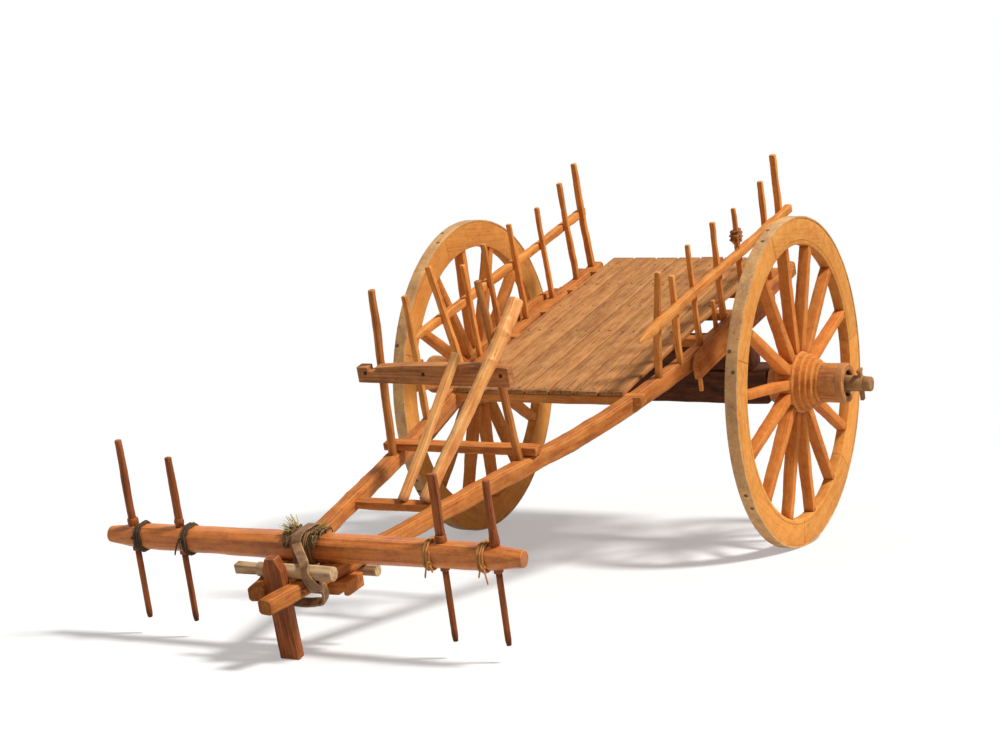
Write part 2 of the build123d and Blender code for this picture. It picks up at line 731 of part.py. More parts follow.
def yoke_section(x):
    """The yoke's octagonal section at one place: a little slimmer at the shoulder, then a tapered end."""
    slim = YOKE_SLIM * max(0, (min(abs(x), YOKE_SHOULDER) - YOKE_FLAT) / (YOKE_SHOULDER - YOKE_FLAT))
    share = max(0, (abs(x) - YOKE_SHOULDER) / (YOKE_HALF - YOKE_SHOULDER))
    deep, high = YOKE_D - slim, YOKE_H - slim
    return deep + (YOKE_END - deep) * share, high + (YOKE_END - high) * share


def yoke_outline(x, grow=0):
    """That section as a face, grown outwards by a thickness."""
    deep, high = yoke_section(x)
    face = chamfer(Rectangle(deep, high).vertices(), min(deep, high) * YOKE_EDGE)
    if grow:
        face = offset(face, grow, kind=Kind.INTERSECTION)
    return Plane(origin=(x, 0, YOKE_Z), x_dir=(0, 1, 0), z_dir=(1, 0, 0)) * face


def yoke_beam():
    """The whole yoke without its pin holes, flat in the middle and tapered to its ends."""
    places = (YOKE_FLAT, YOKE_SHOULDER, YOKE_HALF)
    return loft([yoke_outline(x) for x in [-x for x in reversed(places)] + list(places)], ruled=True)


def yoke():
    """The yoke with a square mortise for each pin."""
    timber = yoke_beam()
    half = PIN_NECK / 2 + FIT
    for _, x, _, _ in YOKE_PINS:
        timber -= block((x - half, x + half), (-half, half), (-YOKE_H, 2 * YOKE_H))
    return timber


def pin_seats(x):
    """Heights of the neck's lower end, the knob's seat and the rod's tip, for a pin at one place."""
    low = YOKE_Z - yoke_section(x)[1] / 2 - PIN_NECK_BELOW
    seat = YOKE_Z + yoke_section(abs(x) - PIN_KNOB / 2)[1] / 2 + FIT
    return low, seat, YOKE_Z - PIN_BELOW


def yoke_pin(x, above, kind):
    """A neck pin: a hewn stick or board above, a knob on the yoke, a square neck and a round rod below."""
    low, seat, tip = pin_seats(x)
    round_rod = rod((x, 0, tip), (x, 0, low), PIN_R)
    round_rod = chamfer(round_rod.edges().sort_by(Axis.Z)[0], PIN_TIP)
    neck = block((x - PIN_NECK / 2, x + PIN_NECK / 2), (-PIN_NECK / 2, PIN_NECK / 2), (low, seat))
    if kind == "ball":
        knob = Pos(x, 0, seat + PIN_BALL_R) * Sphere(PIN_BALL_R)
    else:
        knob = bar((x, 0, seat), (x, 0, seat + PIN_KNOB_H), PIN_KNOB, PIN_KNOB, edge=PIN_KNOB_EDGE)
    top = (x, 0, YOKE_Z + above)
    if kind == "board":
        stick = bar((x, 0, seat), top, PIN_BOARD_W, PIN_BOARD_T, edge=PIN_EDGE)
    else:
        stick = bar((x, 0, seat), top, PIN_STICK, PIN_STICK, PIN_STICK_TOP, PIN_STICK_TOP, PIN_EDGE)
    return round_rod + neck + knob + stick


def wrap(x0, x1, thickness):
    """A rope wrap round the yoke between two places, just clear of the wood."""
    largest = min((x0, x1), key=abs)
    outer = extrude(yoke_outline(largest, thickness), x1 - x0)
    inner = extrude(yoke_outline(largest, FIT), x1 - x0)
    return Pos(x0 - largest, 0, 0) * (outer - inner)


def pin_lashings():
    """Rope wound round the yoke on the inner side of each pin."""
    wraps = []
    for _, x, _, _ in YOKE_PINS:
        side = 1 if x > 0 else -1
        a = x - side * (PIN_KNOB / 2 + MOVE_GAP)
        b = a - side * LASH_W
        wraps.append(wrap(min(a, b), max(a, b), LASH_T))
    return wraps


def strap_outline():
    """Half the inside of the yoke's strap, as (y, z) points from its top down."""
    corner = hypot(BINDING_HALF, YOKE_D / 2 + BINDING_T)
    corner_angle = atan2(BINDING_HALF, YOKE_D / 2 + BINDING_T)
    clear = corner * cos(max(0, corner_angle - radians(SWIVEL))) + MOVE_GAP
    top = FIT + YOKE_H + BINDING_T + MOVE_GAP
    under = -2 * beam_half_height(YOKE_Y) - BLOCK_H - STRAP_SLACK
    return [(clear - STRAP_SLOPE, top), (clear, top - STRAP_SLOPE), (clear, under + BLOCK_H),
            (BLOCK_LEN / 2 + STRAP_SLACK, under)]


def hold_strap():
    """The rawhide loop over the yoke's middle, between the beams and round the block under them."""
    outline = strap_outline()
    ring = outline + [(-y, z) for y, z in reversed(outline)]
    inside = make_face(Polyline(*ring, close=True))
    band = offset(inside, STRAP_T, kind=Kind.INTERSECTION) - inside
    return on_pole(YOKE_Y) * extrude(Plane.YZ * band, STRAP_W / 2, both=True)


# Parked: tipped about the axle until the leg's foot is on the ground

FOOT_FRONT = LEG_Y - LEG_T / 2
FOOT_UP = beam_z(LEG_Y) - LEG_BELOW - WHEEL_R
FOOT_REACH = hypot(FOOT_FRONT, FOOT_UP)
TILT = degrees(asin(WHEEL_R / FOOT_REACH) + atan2(FOOT_UP, -FOOT_FRONT))


def parked(shape):
    """Tips a piece of the body about the axle."""
    return Pos(0, 0, WHEEL_R) * Rot(X=TILT) * Pos(0, 0, -WHEEL_R) * shape


def mirrored(shape):
    """The same piece on the other side."""
    return mirror(shape, Plane.YZ)


def collect():
    """Every node's shape, in the parked pose."""
    nodes = {}
    for side, name in ((1, "left"), (-1, "right")):
        place = Pos(side * RIM_X, 0, WHEEL_R) * Rot(Z=0 if side > 0 else 180)
        for piece, shape in wheel_pieces().items():
            nodes[f"wheel_{name}_{piece}"] = place * shape

    body = {"axle": axle(), "linchpin_left": linchpin(1), "linchpin_right": linchpin(-1),
            "bolster": bolster(), "bed_crossbars": Compound(bed_crossbars()),
            "floor_planks": Compound(floor_planks())}
    left_posts = [stake(*row) for row in LEFT_STAKES]
    right_posts = [stake(*row) for row in RIGHT_STAKES]
    cross = bed_crossbars() + [spreader(), leg_pin_blank()]
    leg = pole_leg()
    for name, tip, posts, top in (("left", TIP_LEFT_Y, left_posts, TALL_TOP_LEFT),
                                  ("right", TIP_RIGHT_Y, right_posts, TALL_TOP_RIGHT)):
        timber = beam(tip)
        tall = tall_stake(1, top)
        for cutter in posts + cross + [tall, leg, front_sleeper()]:
            timber -= cutter
        pegs = Compound([cheek_peg(y) for y in (CHEEK_PEG_INSET - CHEEK_HALF, CHEEK_HALF - CHEEK_PEG_INSET)])
        plank = cheek() - pegs
        sided = {"beam": timber, "stakes": Compound(posts), "rail": rail(posts[1:] if name == "right" else posts),
                 "tall_stake": tall, "cheek": plank, "cheek_pegs": pegs}
        for piece, shape in sided.items():
            body[f"{piece}_{name}"] = shape if name == "left" else mirrored(shape)

    body["stake_rope"] = stake_rope()
    body["front_crossbar"] = front_crossbar()
    body["front_sleeper"] = front_sleeper()
    body["pole_spreader"] = spreader()
    body["leaning_pole"] = leaning_pole()
    body["leaning_branch"] = leaning_branch()
    body["pole_leg"] = leg - leg_pin_blank()
    body["leg_pin"] = leg_pin_blank()
    body["pole_peg"] = pole_peg()
    body["under_block"] = under_block()
    body["under_log"] = under_log()
    body["pole_strap"] = pole_strap()
    body["hold_strap"] = hold_strap()

    seat = on_pole(YOKE_Y)
    body["yoke"] = seat * yoke()
    for name, x, above, kind in YOKE_PINS:
        body[f"yoke_pin_{name}"] = seat * yoke_pin(x, above, kind)
    body["yoke_binding"] = seat * wrap(-BINDING_HALF, BINDING_HALF, BINDING_T)
    body["pin_lashings"] = seat * Compound(pin_lashings())
    for name, shape in body.items():
        nodes[name] = parked(shape)

    box = Compound(list(nodes.values())).bounding_box()
    middle = (box.min.Y + box.max.Y) / 2
    return {name: Pos(0, -middle, 0) * shape for name, shape in nodes.items()}


os.makedirs("parts", exist_ok=True)
for node, solid in collect().items():
    export_step(solid, f"parts/{node}.step")
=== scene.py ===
import json
import random
from math import atan2, ceil, cos, hypot, pi, radians, sin

import bmesh
import bpy
from mathutils import Matrix, Vector, noise


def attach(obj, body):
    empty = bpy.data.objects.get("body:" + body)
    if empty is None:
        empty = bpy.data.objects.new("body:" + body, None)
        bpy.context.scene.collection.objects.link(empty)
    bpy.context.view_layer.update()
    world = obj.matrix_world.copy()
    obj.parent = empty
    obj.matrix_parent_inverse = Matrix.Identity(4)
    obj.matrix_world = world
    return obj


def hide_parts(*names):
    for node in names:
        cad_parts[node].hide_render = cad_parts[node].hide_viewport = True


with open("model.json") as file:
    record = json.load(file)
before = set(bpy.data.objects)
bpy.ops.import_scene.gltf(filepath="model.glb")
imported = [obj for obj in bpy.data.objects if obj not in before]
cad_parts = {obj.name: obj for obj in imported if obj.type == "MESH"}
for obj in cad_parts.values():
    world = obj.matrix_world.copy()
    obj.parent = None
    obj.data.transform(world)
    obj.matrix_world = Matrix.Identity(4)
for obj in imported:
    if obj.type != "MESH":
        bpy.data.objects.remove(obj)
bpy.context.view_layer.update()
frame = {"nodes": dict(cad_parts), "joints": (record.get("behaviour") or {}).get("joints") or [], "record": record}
nodes = frame["nodes"]
scene = bpy.context.scene
scene.view_settings.view_transform = "Standard"
SEED = 11
rng = random.Random(SEED)
noise.seed_set(SEED)

# The body is level in its own frame, with the ground under the axle at the origin, and is
# stored tipped about the axle.
AXLE = Vector(next(j for j in frame["joints"] if j["name"] == "wheel_left_spin")["pos_m"])
FLOOR_UP = Vector(next(m for m in frame["record"]["mounts"] if m["name"] == "bed_floor")["axis"])
TILT = atan2(-FLOOR_UP.y, FLOOR_UP.z)
LEVEL = Matrix.Translation(AXLE) @ Matrix.Rotation(TILT, 4, "X") @ Matrix.Translation((0, 0, -AXLE.z))
ACROSS = Vector((1, 0, 0))
ALONG = (LEVEL.to_3x3() @ Vector((0, 1, 0))).normalized()
UPWARDS = (LEVEL.to_3x3() @ Vector((0, 0, 1))).normalized()
SWIVEL = next(j for j in frame["joints"] if j["name"] == "yoke_swivel")
YOKE_UP = Vector(SWIVEL["axis"]).normalized()
YOKE_BACK = YOKE_UP.cross(ACROSS).normalized()


def lv(x, y, z):
    """A point of the level body."""
    return LEVEL @ Vector((x, y, z))


def vary(reach):
    """A random amount, either way."""
    return rng.uniform(-reach, reach)


def random_place():
    """Where a piece lies in the grain's noise."""
    return Vector([rng.uniform(0, 9) for _ in range(3)])


# Camera, at the photograph's place and angle

def camera():
    azimuth, elevation, roll = radians(28.641), radians(5.375), radians(-1.693)
    back = Vector((sin(azimuth) * cos(elevation), -cos(azimuth) * cos(elevation), sin(elevation)))
    right = (-back).cross(Vector((0, 0, 1))).normalized()
    up = right.cross(-back)
    across = cos(roll) * right + sin(roll) * up
    upright = cos(roll) * up - sin(roll) * right
    turned = Matrix((across, upright, back)).transposed().to_4x4()
    data = bpy.data.cameras.new("camera")
    data.lens, data.sensor_width = 90.514, 36.0
    data.clip_start, data.clip_end = 0.1, 200
    eye = bpy.data.objects.new("camera", data)
    eye.matrix_world = Matrix.Translation((4.940, -9.108, 1.836)) @ turned
    scene.collection.objects.link(eye)
    scene.camera = eye


camera()


# Shader helpers

def colour(r, g, b):
    """An 8-bit display colour as linear values."""
    values = [c / 255 for c in (r, g, b)]
    return [c / 12.92 if c <= 0.04045 else ((c + 0.055) / 1.055) ** 2.4 for c in values] + [1]


def add(tree, kind, inputs=None, **settings):
    """A shader node with its settings, and its inputs linked or set."""
    made = tree.nodes.new("ShaderNode" + kind)
    for key, value in settings.items():
        setattr(made, key, value)
    for key, value in (inputs or {}).items():
        socket = made.inputs[key]
        if isinstance(value, bpy.types.NodeSocket):
            tree.links.new(value, socket)
        else:
            socket.default_value = value
    return made


def maths(tree, how, a, b=0.0, clamp=False):
    return add(tree, "Math", {0: a, 1: b}, operation=how, use_clamp=clamp).outputs[0]


def weighted(tree, base, *terms, clamp=False):
    """A base and some values, each by its share, in one sum."""
    for value, share in terms:
        base = maths(tree, "ADD", base, maths(tree, "MULTIPLY", value, share), clamp)
    return base


def blend_colours(tree, share, first, second, how="MIX"):
    mixed = add(tree, "Mix", {0: share, 6: first, 7: second}, data_type="RGBA", blend_type=how)
    return mixed.outputs[2]


def layered(tree, body, *layers):
    """Lays tones over the body colour, each where its mask is white and by its share."""
    for mask, share, tone in layers:
        body = blend_colours(tree, maths(tree, "MULTIPLY", mask, share), body, tone)
    return body


def stretched(tree, vector, scale):
    """The coordinates scaled by their own amount on each axis."""
    return add(tree, "Mapping", {"Vector": vector, "Scale": scale}).outputs[0]


def noise_value(tree, vector, scale, detail, rough, distort=0.0):
    """Noise, at one scale or at a scale for each axis."""
    if isinstance(scale, tuple):
        vector, scale = stretched(tree, vector, scale), 1.0
    made = add(tree, "TexNoise", {"Vector": vector, "Scale": scale, "Detail": detail, "Roughness": rough,
                                  "Distortion": distort})
    return made.outputs["Fac"]


def ramp(tree, value, stops):
    """Maps a value through (position, grey or colour) stops."""
    made = add(tree, "ValToRGB", {"Fac": value})
    points = made.color_ramp.elements
    while len(points) < len(stops):
        points.new(0.5)
    for point, (place, shade) in zip(points, stops):
        point.position = place
        point.color = shade if isinstance(shade, list) else (shade, shade, shade, 1)
    return made.outputs["Color"]


def rise(tree, value, low, high):
    """Black below low and white above high."""
    return ramp(tree, value, [(low, 0.0), (high, 1.0)])


def fall(tree, value, low, high):
    """White below low and black above high."""
    return ramp(tree, value, [(low, 1.0), (high, 0.0)])


def attribute(tree, name, output="Fac"):
    return add(tree, "Attribute", attribute_name=name).outputs[output]


def new_material(name, roughness=0.6, specular=0.4):
    made = bpy.data.materials.new(name)
    made.use_nodes = True
    shader = made.node_tree.nodes["Principled BSDF"]
    shader.inputs["Specular IOR Level"].default_value = specular
    shader.inputs["Roughness"].default_value = roughness
    return made, made.node_tree, shader


def surface(tree, shader, body, gloss, height, strength, distance):
    """Links the colour, the roughness where it varies, and the bump of a height."""
    bump = add(tree, "Bump", {"Height": height, "Strength": strength, "Distance": distance}).outputs[0]
    tree.links.new(body, shader.inputs["Base Color"])
    tree.links.new(bump, shader.inputs["Normal"])
    if gloss is not None:
        tree.links.new(gloss, shader.inputs["Roughness"])


# Materials

def timber(name, light, middle, dark, rough=0.62, dust=0.25, stain=0.3, hair=1.0, wear_and_highlight=0.5, contrast=0.6,
           powder=(220, 160, 88), sheen=0.12, mottle=0.0):
    """Wood with long grain along the piece's own length, stains, specks and dust, worn edges lightened partly as a
    painted highlight, and painted shade where its marks are negative.
    """
    made, tree, shader = new_material(name, specular=sheen)
    light, middle, dark, powder = [colour(*tone) for tone in (light, middle, dark, powder)]
    # deep colours the cracks, and it is the painted shade where the marks go negative.
    deep = [c * 0.4 for c in dark[:3]] + [1]
    # Worn edges are lightened towards this tone: partly wear, partly a painted highlight.
    wear_and_highlight_tone = [min(1, c * 1.1) for c in light[:3]] + [1]
    dull = [c * 0.75 + d * 0.25 for c, d in zip(dark[:3], light[:3])] + [1]
    grain, edge = attribute(tree, "grain", "Vector"), attribute(tree, "edge")
    streaks = noise_value(tree, grain, (2.2, 44, 44), 7, 0.62, 0.6)
    rings = add(tree, "TexWave", {"Vector": stretched(tree, grain, (1.2, 19, 19)), "Scale": 1.0,
                                  "Distortion": 10.0, "Detail": 4.0, "Detail Scale": 1.6},
                bands_direction="Y").outputs["Fac"]
    cloud = noise_value(tree, grain, (7, 16, 16), 6, 0.62)
    hairs = noise_value(tree, grain, (14, 420, 420), 3, 0.7)
    checks = fall(tree, noise_value(tree, grain, (5, 120, 120), 2, 0.5), 0.25, 0.30)
    specks = noise_value(tree, grain, (90, 150, 150), 4, 0.65)
    cover = rise(tree, noise_value(tree, grain, (13, 26, 26), 7, 0.72), 0.38, 0.70)
    figure = weighted(tree, 0.0, (streaks, 0.8), (rings, 0.2))
    figure = weighted(tree, 0.5, (maths(tree, "SUBTRACT", figure, 0.5), contrast))
    body = ramp(tree, figure, [(0.32, dark), (0.5, middle), (0.68, light)])
    body = layered(tree, body,
                   (rise(tree, cloud, 0.48, 0.66), 0.45, light),
                   (fall(tree, cloud, 0.34, 0.50), stain, dark),
                   (fall(tree, hairs, 0.36, 0.50), 0.22 * hair, dark),
                   (checks, 0.75 * hair, deep),
                   (fall(tree, specks, 0.33, 0.44), 0.4, dark))
    shade = weighted(tree, 0.84, (attribute(tree, "tint"), 0.28))
    grey = add(tree, "CombineColor", {0: shade, 1: shade, 2: shade}).outputs[0]
    body = blend_colours(tree, 1.0, body, grey, "MULTIPLY")
    # Edges and specks lighten the wood: wear, and on the edges also a painted highlight.
    wear_and_highlight_mask = rise(tree, weighted(tree, 0.0, (edge, 0.6), (specks, 0.6)), 0.50, 0.80)
    body = layered(tree, body, (wear_and_highlight_mask, wear_and_highlight, wear_and_highlight_tone), (cover, dust, powder))
    if mottle:
        blotch = noise_value(tree, grain, 30.0, 7, 0.7, 0.5)
        body = layered(tree, body, (rise(tree, blotch, 0.47, 0.66), mottle, powder),
                       (fall(tree, blotch, 0.30, 0.47), mottle * 0.8, dull))
    # Painted shade: where the marks are negative (grooves, recesses, bores, cut ends and joints), the wood darkens
    # towards deep. At the branch's knots this is their dark stain.
    body = blend_colours(tree, maths(tree, "MULTIPLY", edge, -0.85, clamp=True), body, deep)
    off = maths(tree, "SUBTRACT", cloud, 0.5)
    gloss = weighted(tree, rough, (off, 0.6), (cover, 0.25 * dust), clamp=True)
    height = weighted(tree, 0.0, (hairs, 0.4), (streaks, 1.6), (specks, 0.5), (checks, -0.8))
    surface(tree, shader, body, gloss, height, 0.6, 0.0024)
    return made


def iron(name, bare, rust, powder, dust, caked=0.0):
    """Worn iron: rust in blotches, pitting, dust from the road, and dried mud where it is caked."""
    made, tree, shader = new_material(name, specular=0.5)
    place = attribute(tree, "grain", "Vector")
    blotch = noise_value(tree, place, 26.0, 8, 0.65)
    fine = noise_value(tree, place, 240.0, 5, 0.7)
    scab = noise_value(tree, place, 46.0, 8, 0.72, 0.8)
    cover = ramp(tree, noise_value(tree, place, 9.0, 7, 0.68), [(0.34, 0.25), (0.62, 1.0)])
    body = blend_colours(tree, rise(tree, blotch, 0.4, 0.6), colour(*bare), colour(*rust))
    body = layered(tree, body, (fall(tree, fine, 0.4, 0.55), 0.35, colour(56, 34, 22)),
                   (cover, dust, colour(*powder)))
    if caked:
        flecks = rise(tree, noise_value(tree, place, 150.0, 3, 0.6), 0.62, 0.67)
        body = layered(tree, body,
                       (rise(tree, scab, 0.50, 0.60), caked, colour(168, 146, 112)),
                       (fall(tree, scab, 0.34, 0.42), caked, colour(112, 76, 46)),
                       (flecks, caked, colour(240, 214, 168)))
    metal = maths(tree, "MULTIPLY", maths(tree, "SUBTRACT", 1.0, cover), 0.5 * (1 - dust), clamp=True)
    tree.links.new(metal, shader.inputs["Metallic"])
    gloss = weighted(tree, 0.5, (cover, 0.4), clamp=True)
    surface(tree, shader, body, gloss, weighted(tree, fine, (blotch, 1.5), (scab, 1.5 * caked)), 0.5, 0.0015)
    return made


def fibre(name, light, dark, scale=1.0):
    """Plant fibre: fine hairs along the strand, and painted shade between the strands."""
    made, tree, shader = new_material(name, roughness=0.85, specular=0.15)
    light, dark = colour(*light), colour(*dark)
    place = attribute(tree, "grain", "Vector")
    hairs = noise_value(tree, place, (60 * scale, 900 * scale, 900 * scale), 4, 0.7)
    blotch = noise_value(tree, place, 34.0, 5, 0.6)
    # The marks darken the grooves between the strands: painted shade.
    body = layered(tree, ramp(tree, hairs, [(0.32, dark), (0.62, light)]),
                   (rise(tree, blotch, 0.45, 0.7), 0.5, dark), (attribute(tree, "edge"), 0.75, dark))
    surface(tree, shader, body, None, hairs, 0.7, 0.0012)
    return made


def greased_hide(name, dark, middle, light, scuff_and_highlight_tone):
    """Dark greased rawhide with paler edges: scuffs and a painted highlight."""
    made, tree, shader = new_material(name, specular=0.45)
    place = attribute(tree, "grain", "Vector")
    cloud = noise_value(tree, place, 30.0, 6, 0.6)
    pores = add(tree, "TexVoronoi", {"Vector": place, "Scale": 420.0}).outputs["Distance"]
    body = ramp(tree, cloud, [(0.32, colour(*dark)), (0.52, colour(*middle)), (0.72, colour(*light))])
    # The edges are lightened: scuffs and a painted highlight.
    scuff_and_highlight_mask = maths(tree, "MULTIPLY", attribute(tree, "edge"), ramp(tree, cloud, [(0.35, 0.35), (0.6, 1.0)]))
    body = layered(tree, body, (scuff_and_highlight_mask, 0.8, colour(*scuff_and_highlight_tone)))
    gloss = ramp(tree, cloud, [(0.3, 0.42), (0.7, 0.72)])
    surface(tree, shader, body, gloss, weighted(tree, cloud, (pores, 0.4)), 0.5, 0.0015)
    return made


WHEEL_WOOD = timber("wheel_wood", (236, 164, 80), (224, 144, 64), (176, 96, 40), rough=0.8, dust=0.45,
                    hair=0.4, contrast=0.36, powder=(232, 166, 90), mottle=0.5)
SPOKE_WOOD = timber("spoke_wood", (226, 144, 70), (212, 120, 48), (160, 78, 30), rough=0.76, dust=0.3,
                    hair=0.45, contrast=0.36, powder=(228, 156, 84), mottle=0.4)
NAVE_WOOD = timber("nave_wood", (228, 146, 72), (204, 116, 48), (138, 70, 30), rough=0.64, dust=0.35,
                   stain=0.45, hair=0.5, contrast=0.4, mottle=0.35)
NOSE_WOOD = timber("nose_wood", (226, 150, 80), (192, 112, 52), (110, 58, 28), rough=0.66, dust=0.4,
                   stain=0.55, hair=0.7, powder=(204, 156, 102), mottle=0.4)
BED_WOOD = timber("bed_wood", (218, 142, 72), (190, 110, 48), (134, 68, 28), dust=0.35, stain=0.45)
FLOOR_WOOD = timber("floor_wood", (206, 146, 88), (174, 112, 62), (116, 68, 36), rough=0.75, dust=0.5,
                    stain=0.4, hair=1.1, contrast=0.75, powder=(212, 160, 104))
STAKE_WOOD = timber("stake_wood", (240, 164, 84), (222, 134, 56), (154, 78, 28), dust=0.3, stain=0.4,
                    powder=(238, 176, 104), mottle=0.2)
POLE_WOOD = timber("pole_wood", (214, 134, 64), (184, 102, 44), (116, 54, 22), dust=0.28, stain=0.5)
YOKE_WOOD = timber("yoke_wood", (236, 148, 68), (212, 114, 46), (140, 62, 24), rough=0.40, dust=0.14,
                   stain=0.45, hair=0.5, contrast=0.5, sheen=0.32, mottle=0.25)
PIN_WOOD = timber("pin_wood", (172, 96, 50), (140, 68, 32), (88, 40, 18), rough=0.48, dust=0.12)
STAND_WOOD = timber("stand_wood", (216, 138, 70), (182, 106, 50), (112, 58, 28), dust=0.2)
# The leg's edges are lightened strongly: wear and a painted highlight.
LEG_WOOD = timber("leg_wood", (176, 98, 48), (134, 68, 33), (80, 36, 18), rough=0.5, dust=0.14, wear_and_highlight=0.9)
BAR_WOOD = timber("bar_wood", (202, 136, 84), (166, 104, 62), (98, 56, 32), dust=0.3, stain=0.5)
PALE_WOOD = timber("pale_wood", (255, 204, 130), (242, 164, 88), (186, 100, 42), rough=0.38, dust=0.1,
                   stain=0.45, sheen=0.34)
GREY_WOOD = timber("grey_wood", (224, 188, 144), (178, 142, 104), (104, 76, 52), rough=0.82, dust=0.3,
                   hair=0.9, contrast=0.7, powder=(214, 180, 138))
DARK_WOOD = timber("dark_wood", (112, 62, 36), (76, 40, 24), (40, 20, 13), dust=0.22, powder=(168, 112, 66))
ARM_WOOD = timber("arm_wood", (196, 142, 86), (146, 98, 58), (80, 48, 30), rough=0.6, dust=0.45, stain=0.5,
                  powder=(188, 146, 98), mottle=0.5)
DUSTY_IRON = iron("dusty_iron", (128, 88, 58), (156, 92, 48), (240, 182, 110), 0.85, caked=0.6)
DARK_IRON = iron("dark_iron", (104, 72, 50), (126, 68, 36), (196, 130, 74), 0.6)
BAND_IRON = iron("band_iron", (120, 82, 54), (140, 78, 40), (208, 138, 74), 0.85)
NAIL_IRON = iron("nail_iron", (70, 50, 38), (92, 56, 34), (140, 96, 60), 0.5)
ROPE = fibre("rope_fibre", (228, 162, 94), (138, 84, 44))
DARK_ROPE = fibre("dark_rope_fibre", (112, 90, 68), (46, 34, 26))
BROWN_ROPE = fibre("brown_rope_fibre", (208, 138, 80), (122, 70, 36))
MATTED_ROPE = fibre("matted_rope_fibre", (150, 116, 78), (58, 42, 30))
WRAP = fibre("wrap_fibre", (186, 144, 92), (84, 58, 36))
GRASS = fibre("dry_grass", (226, 200, 132), (140, 118, 70), 0.5)
RAWHIDE = greased_hide("rawhide", (76, 48, 28), (126, 86, 50), (164, 118, 70), (212, 166, 108))


# Sections, given by how far they reach to the right, left, top and bottom

FACET, BEVEL = 0.24, 0.009


def squared(right, left, top, bottom):
    return [(right, -bottom), (right, top), (-left, top), (-left, -bottom)]


def clipped(right, left, top, bottom, cut):
    """A rectangle with its corners cut off."""
    return [(right, -bottom + cut), (right, top - cut), (right - cut, top), (cut - left, top),
            (-left, top - cut), (-left, cut - bottom), (cut - left, -bottom), (right - cut, -bottom)]


def faceted(right, left, top, bottom):
    """Eight sides, the corners cut by a share of the section's size."""
    return clipped(right, left, top, bottom, FACET * min(right + left, top + bottom))


def bevelled(right, left, top, bottom):
    """A rectangle with narrow bevels."""
    return clipped(right, left, top, bottom, BEVEL)


def eased(corners, ease):
    """Three outline points for each corner: its worn edge, lightened as wear and a painted highlight, and where
    that starts and ends.
    """
    outline = []
    for i, (u, v) in enumerate(corners):
        arms = []
        for far in (corners[i - 1], corners[(i + 1) % len(corners)]):
            run = hypot(far[0] - u, far[1] - v)
            reach = min(ease, 0.35 * run) / run
            arms.append((u + (far[0] - u) * reach, v + (far[1] - v) * reach))
        middle = tuple((a + b) * 0.32 + c * 0.36 for a, b, c in zip(arms[0], arms[1], (u, v)))
        outline += [(*arms[0], 0.0), (*middle, 1.0), (*arms[1], 0.0)]
    return outline


def rounded(sides):
    """A round section of that many sides."""
    def outline(right, left, top, bottom):
        points = []
        for i in range(sides):
            u, v = cos(2 * pi * i / sides), sin(2 * pi * i / sides)
            points.append((u * (right if u > 0 else left), v * (top if v > 0 else bottom), 0.0))
        return points
    return outline


# Meshes

def bent(points, radius, closed=False, steps=4):
    """A path with its corners rounded."""
    points = [Vector(p) for p in points]
    path = [] if closed else [points[0]]
    for i in range(0 if closed else 1, len(points) if closed else len(points) - 1):
        corner, before, after = points[i], points[i - 1], points[(i + 1) % len(points)]
        start = corner + (before - corner).normalized() * min(radius, (before - corner).length * 0.45)
        end = corner + (after - corner).normalized() * min(radius, (after - corner).length * 0.45)
        for k in range(steps + 1):
            t = k / steps
            path.append(start * (1 - t) ** 2 + corner * 2 * t * (1 - t) + end * t * t)
    return path if closed else path + [points[-1]]


def square_to(direction, vector):
    """The part of a vector that is square to a direction, at length 1."""
    return (vector - direction * vector.dot(direction)).normalized()


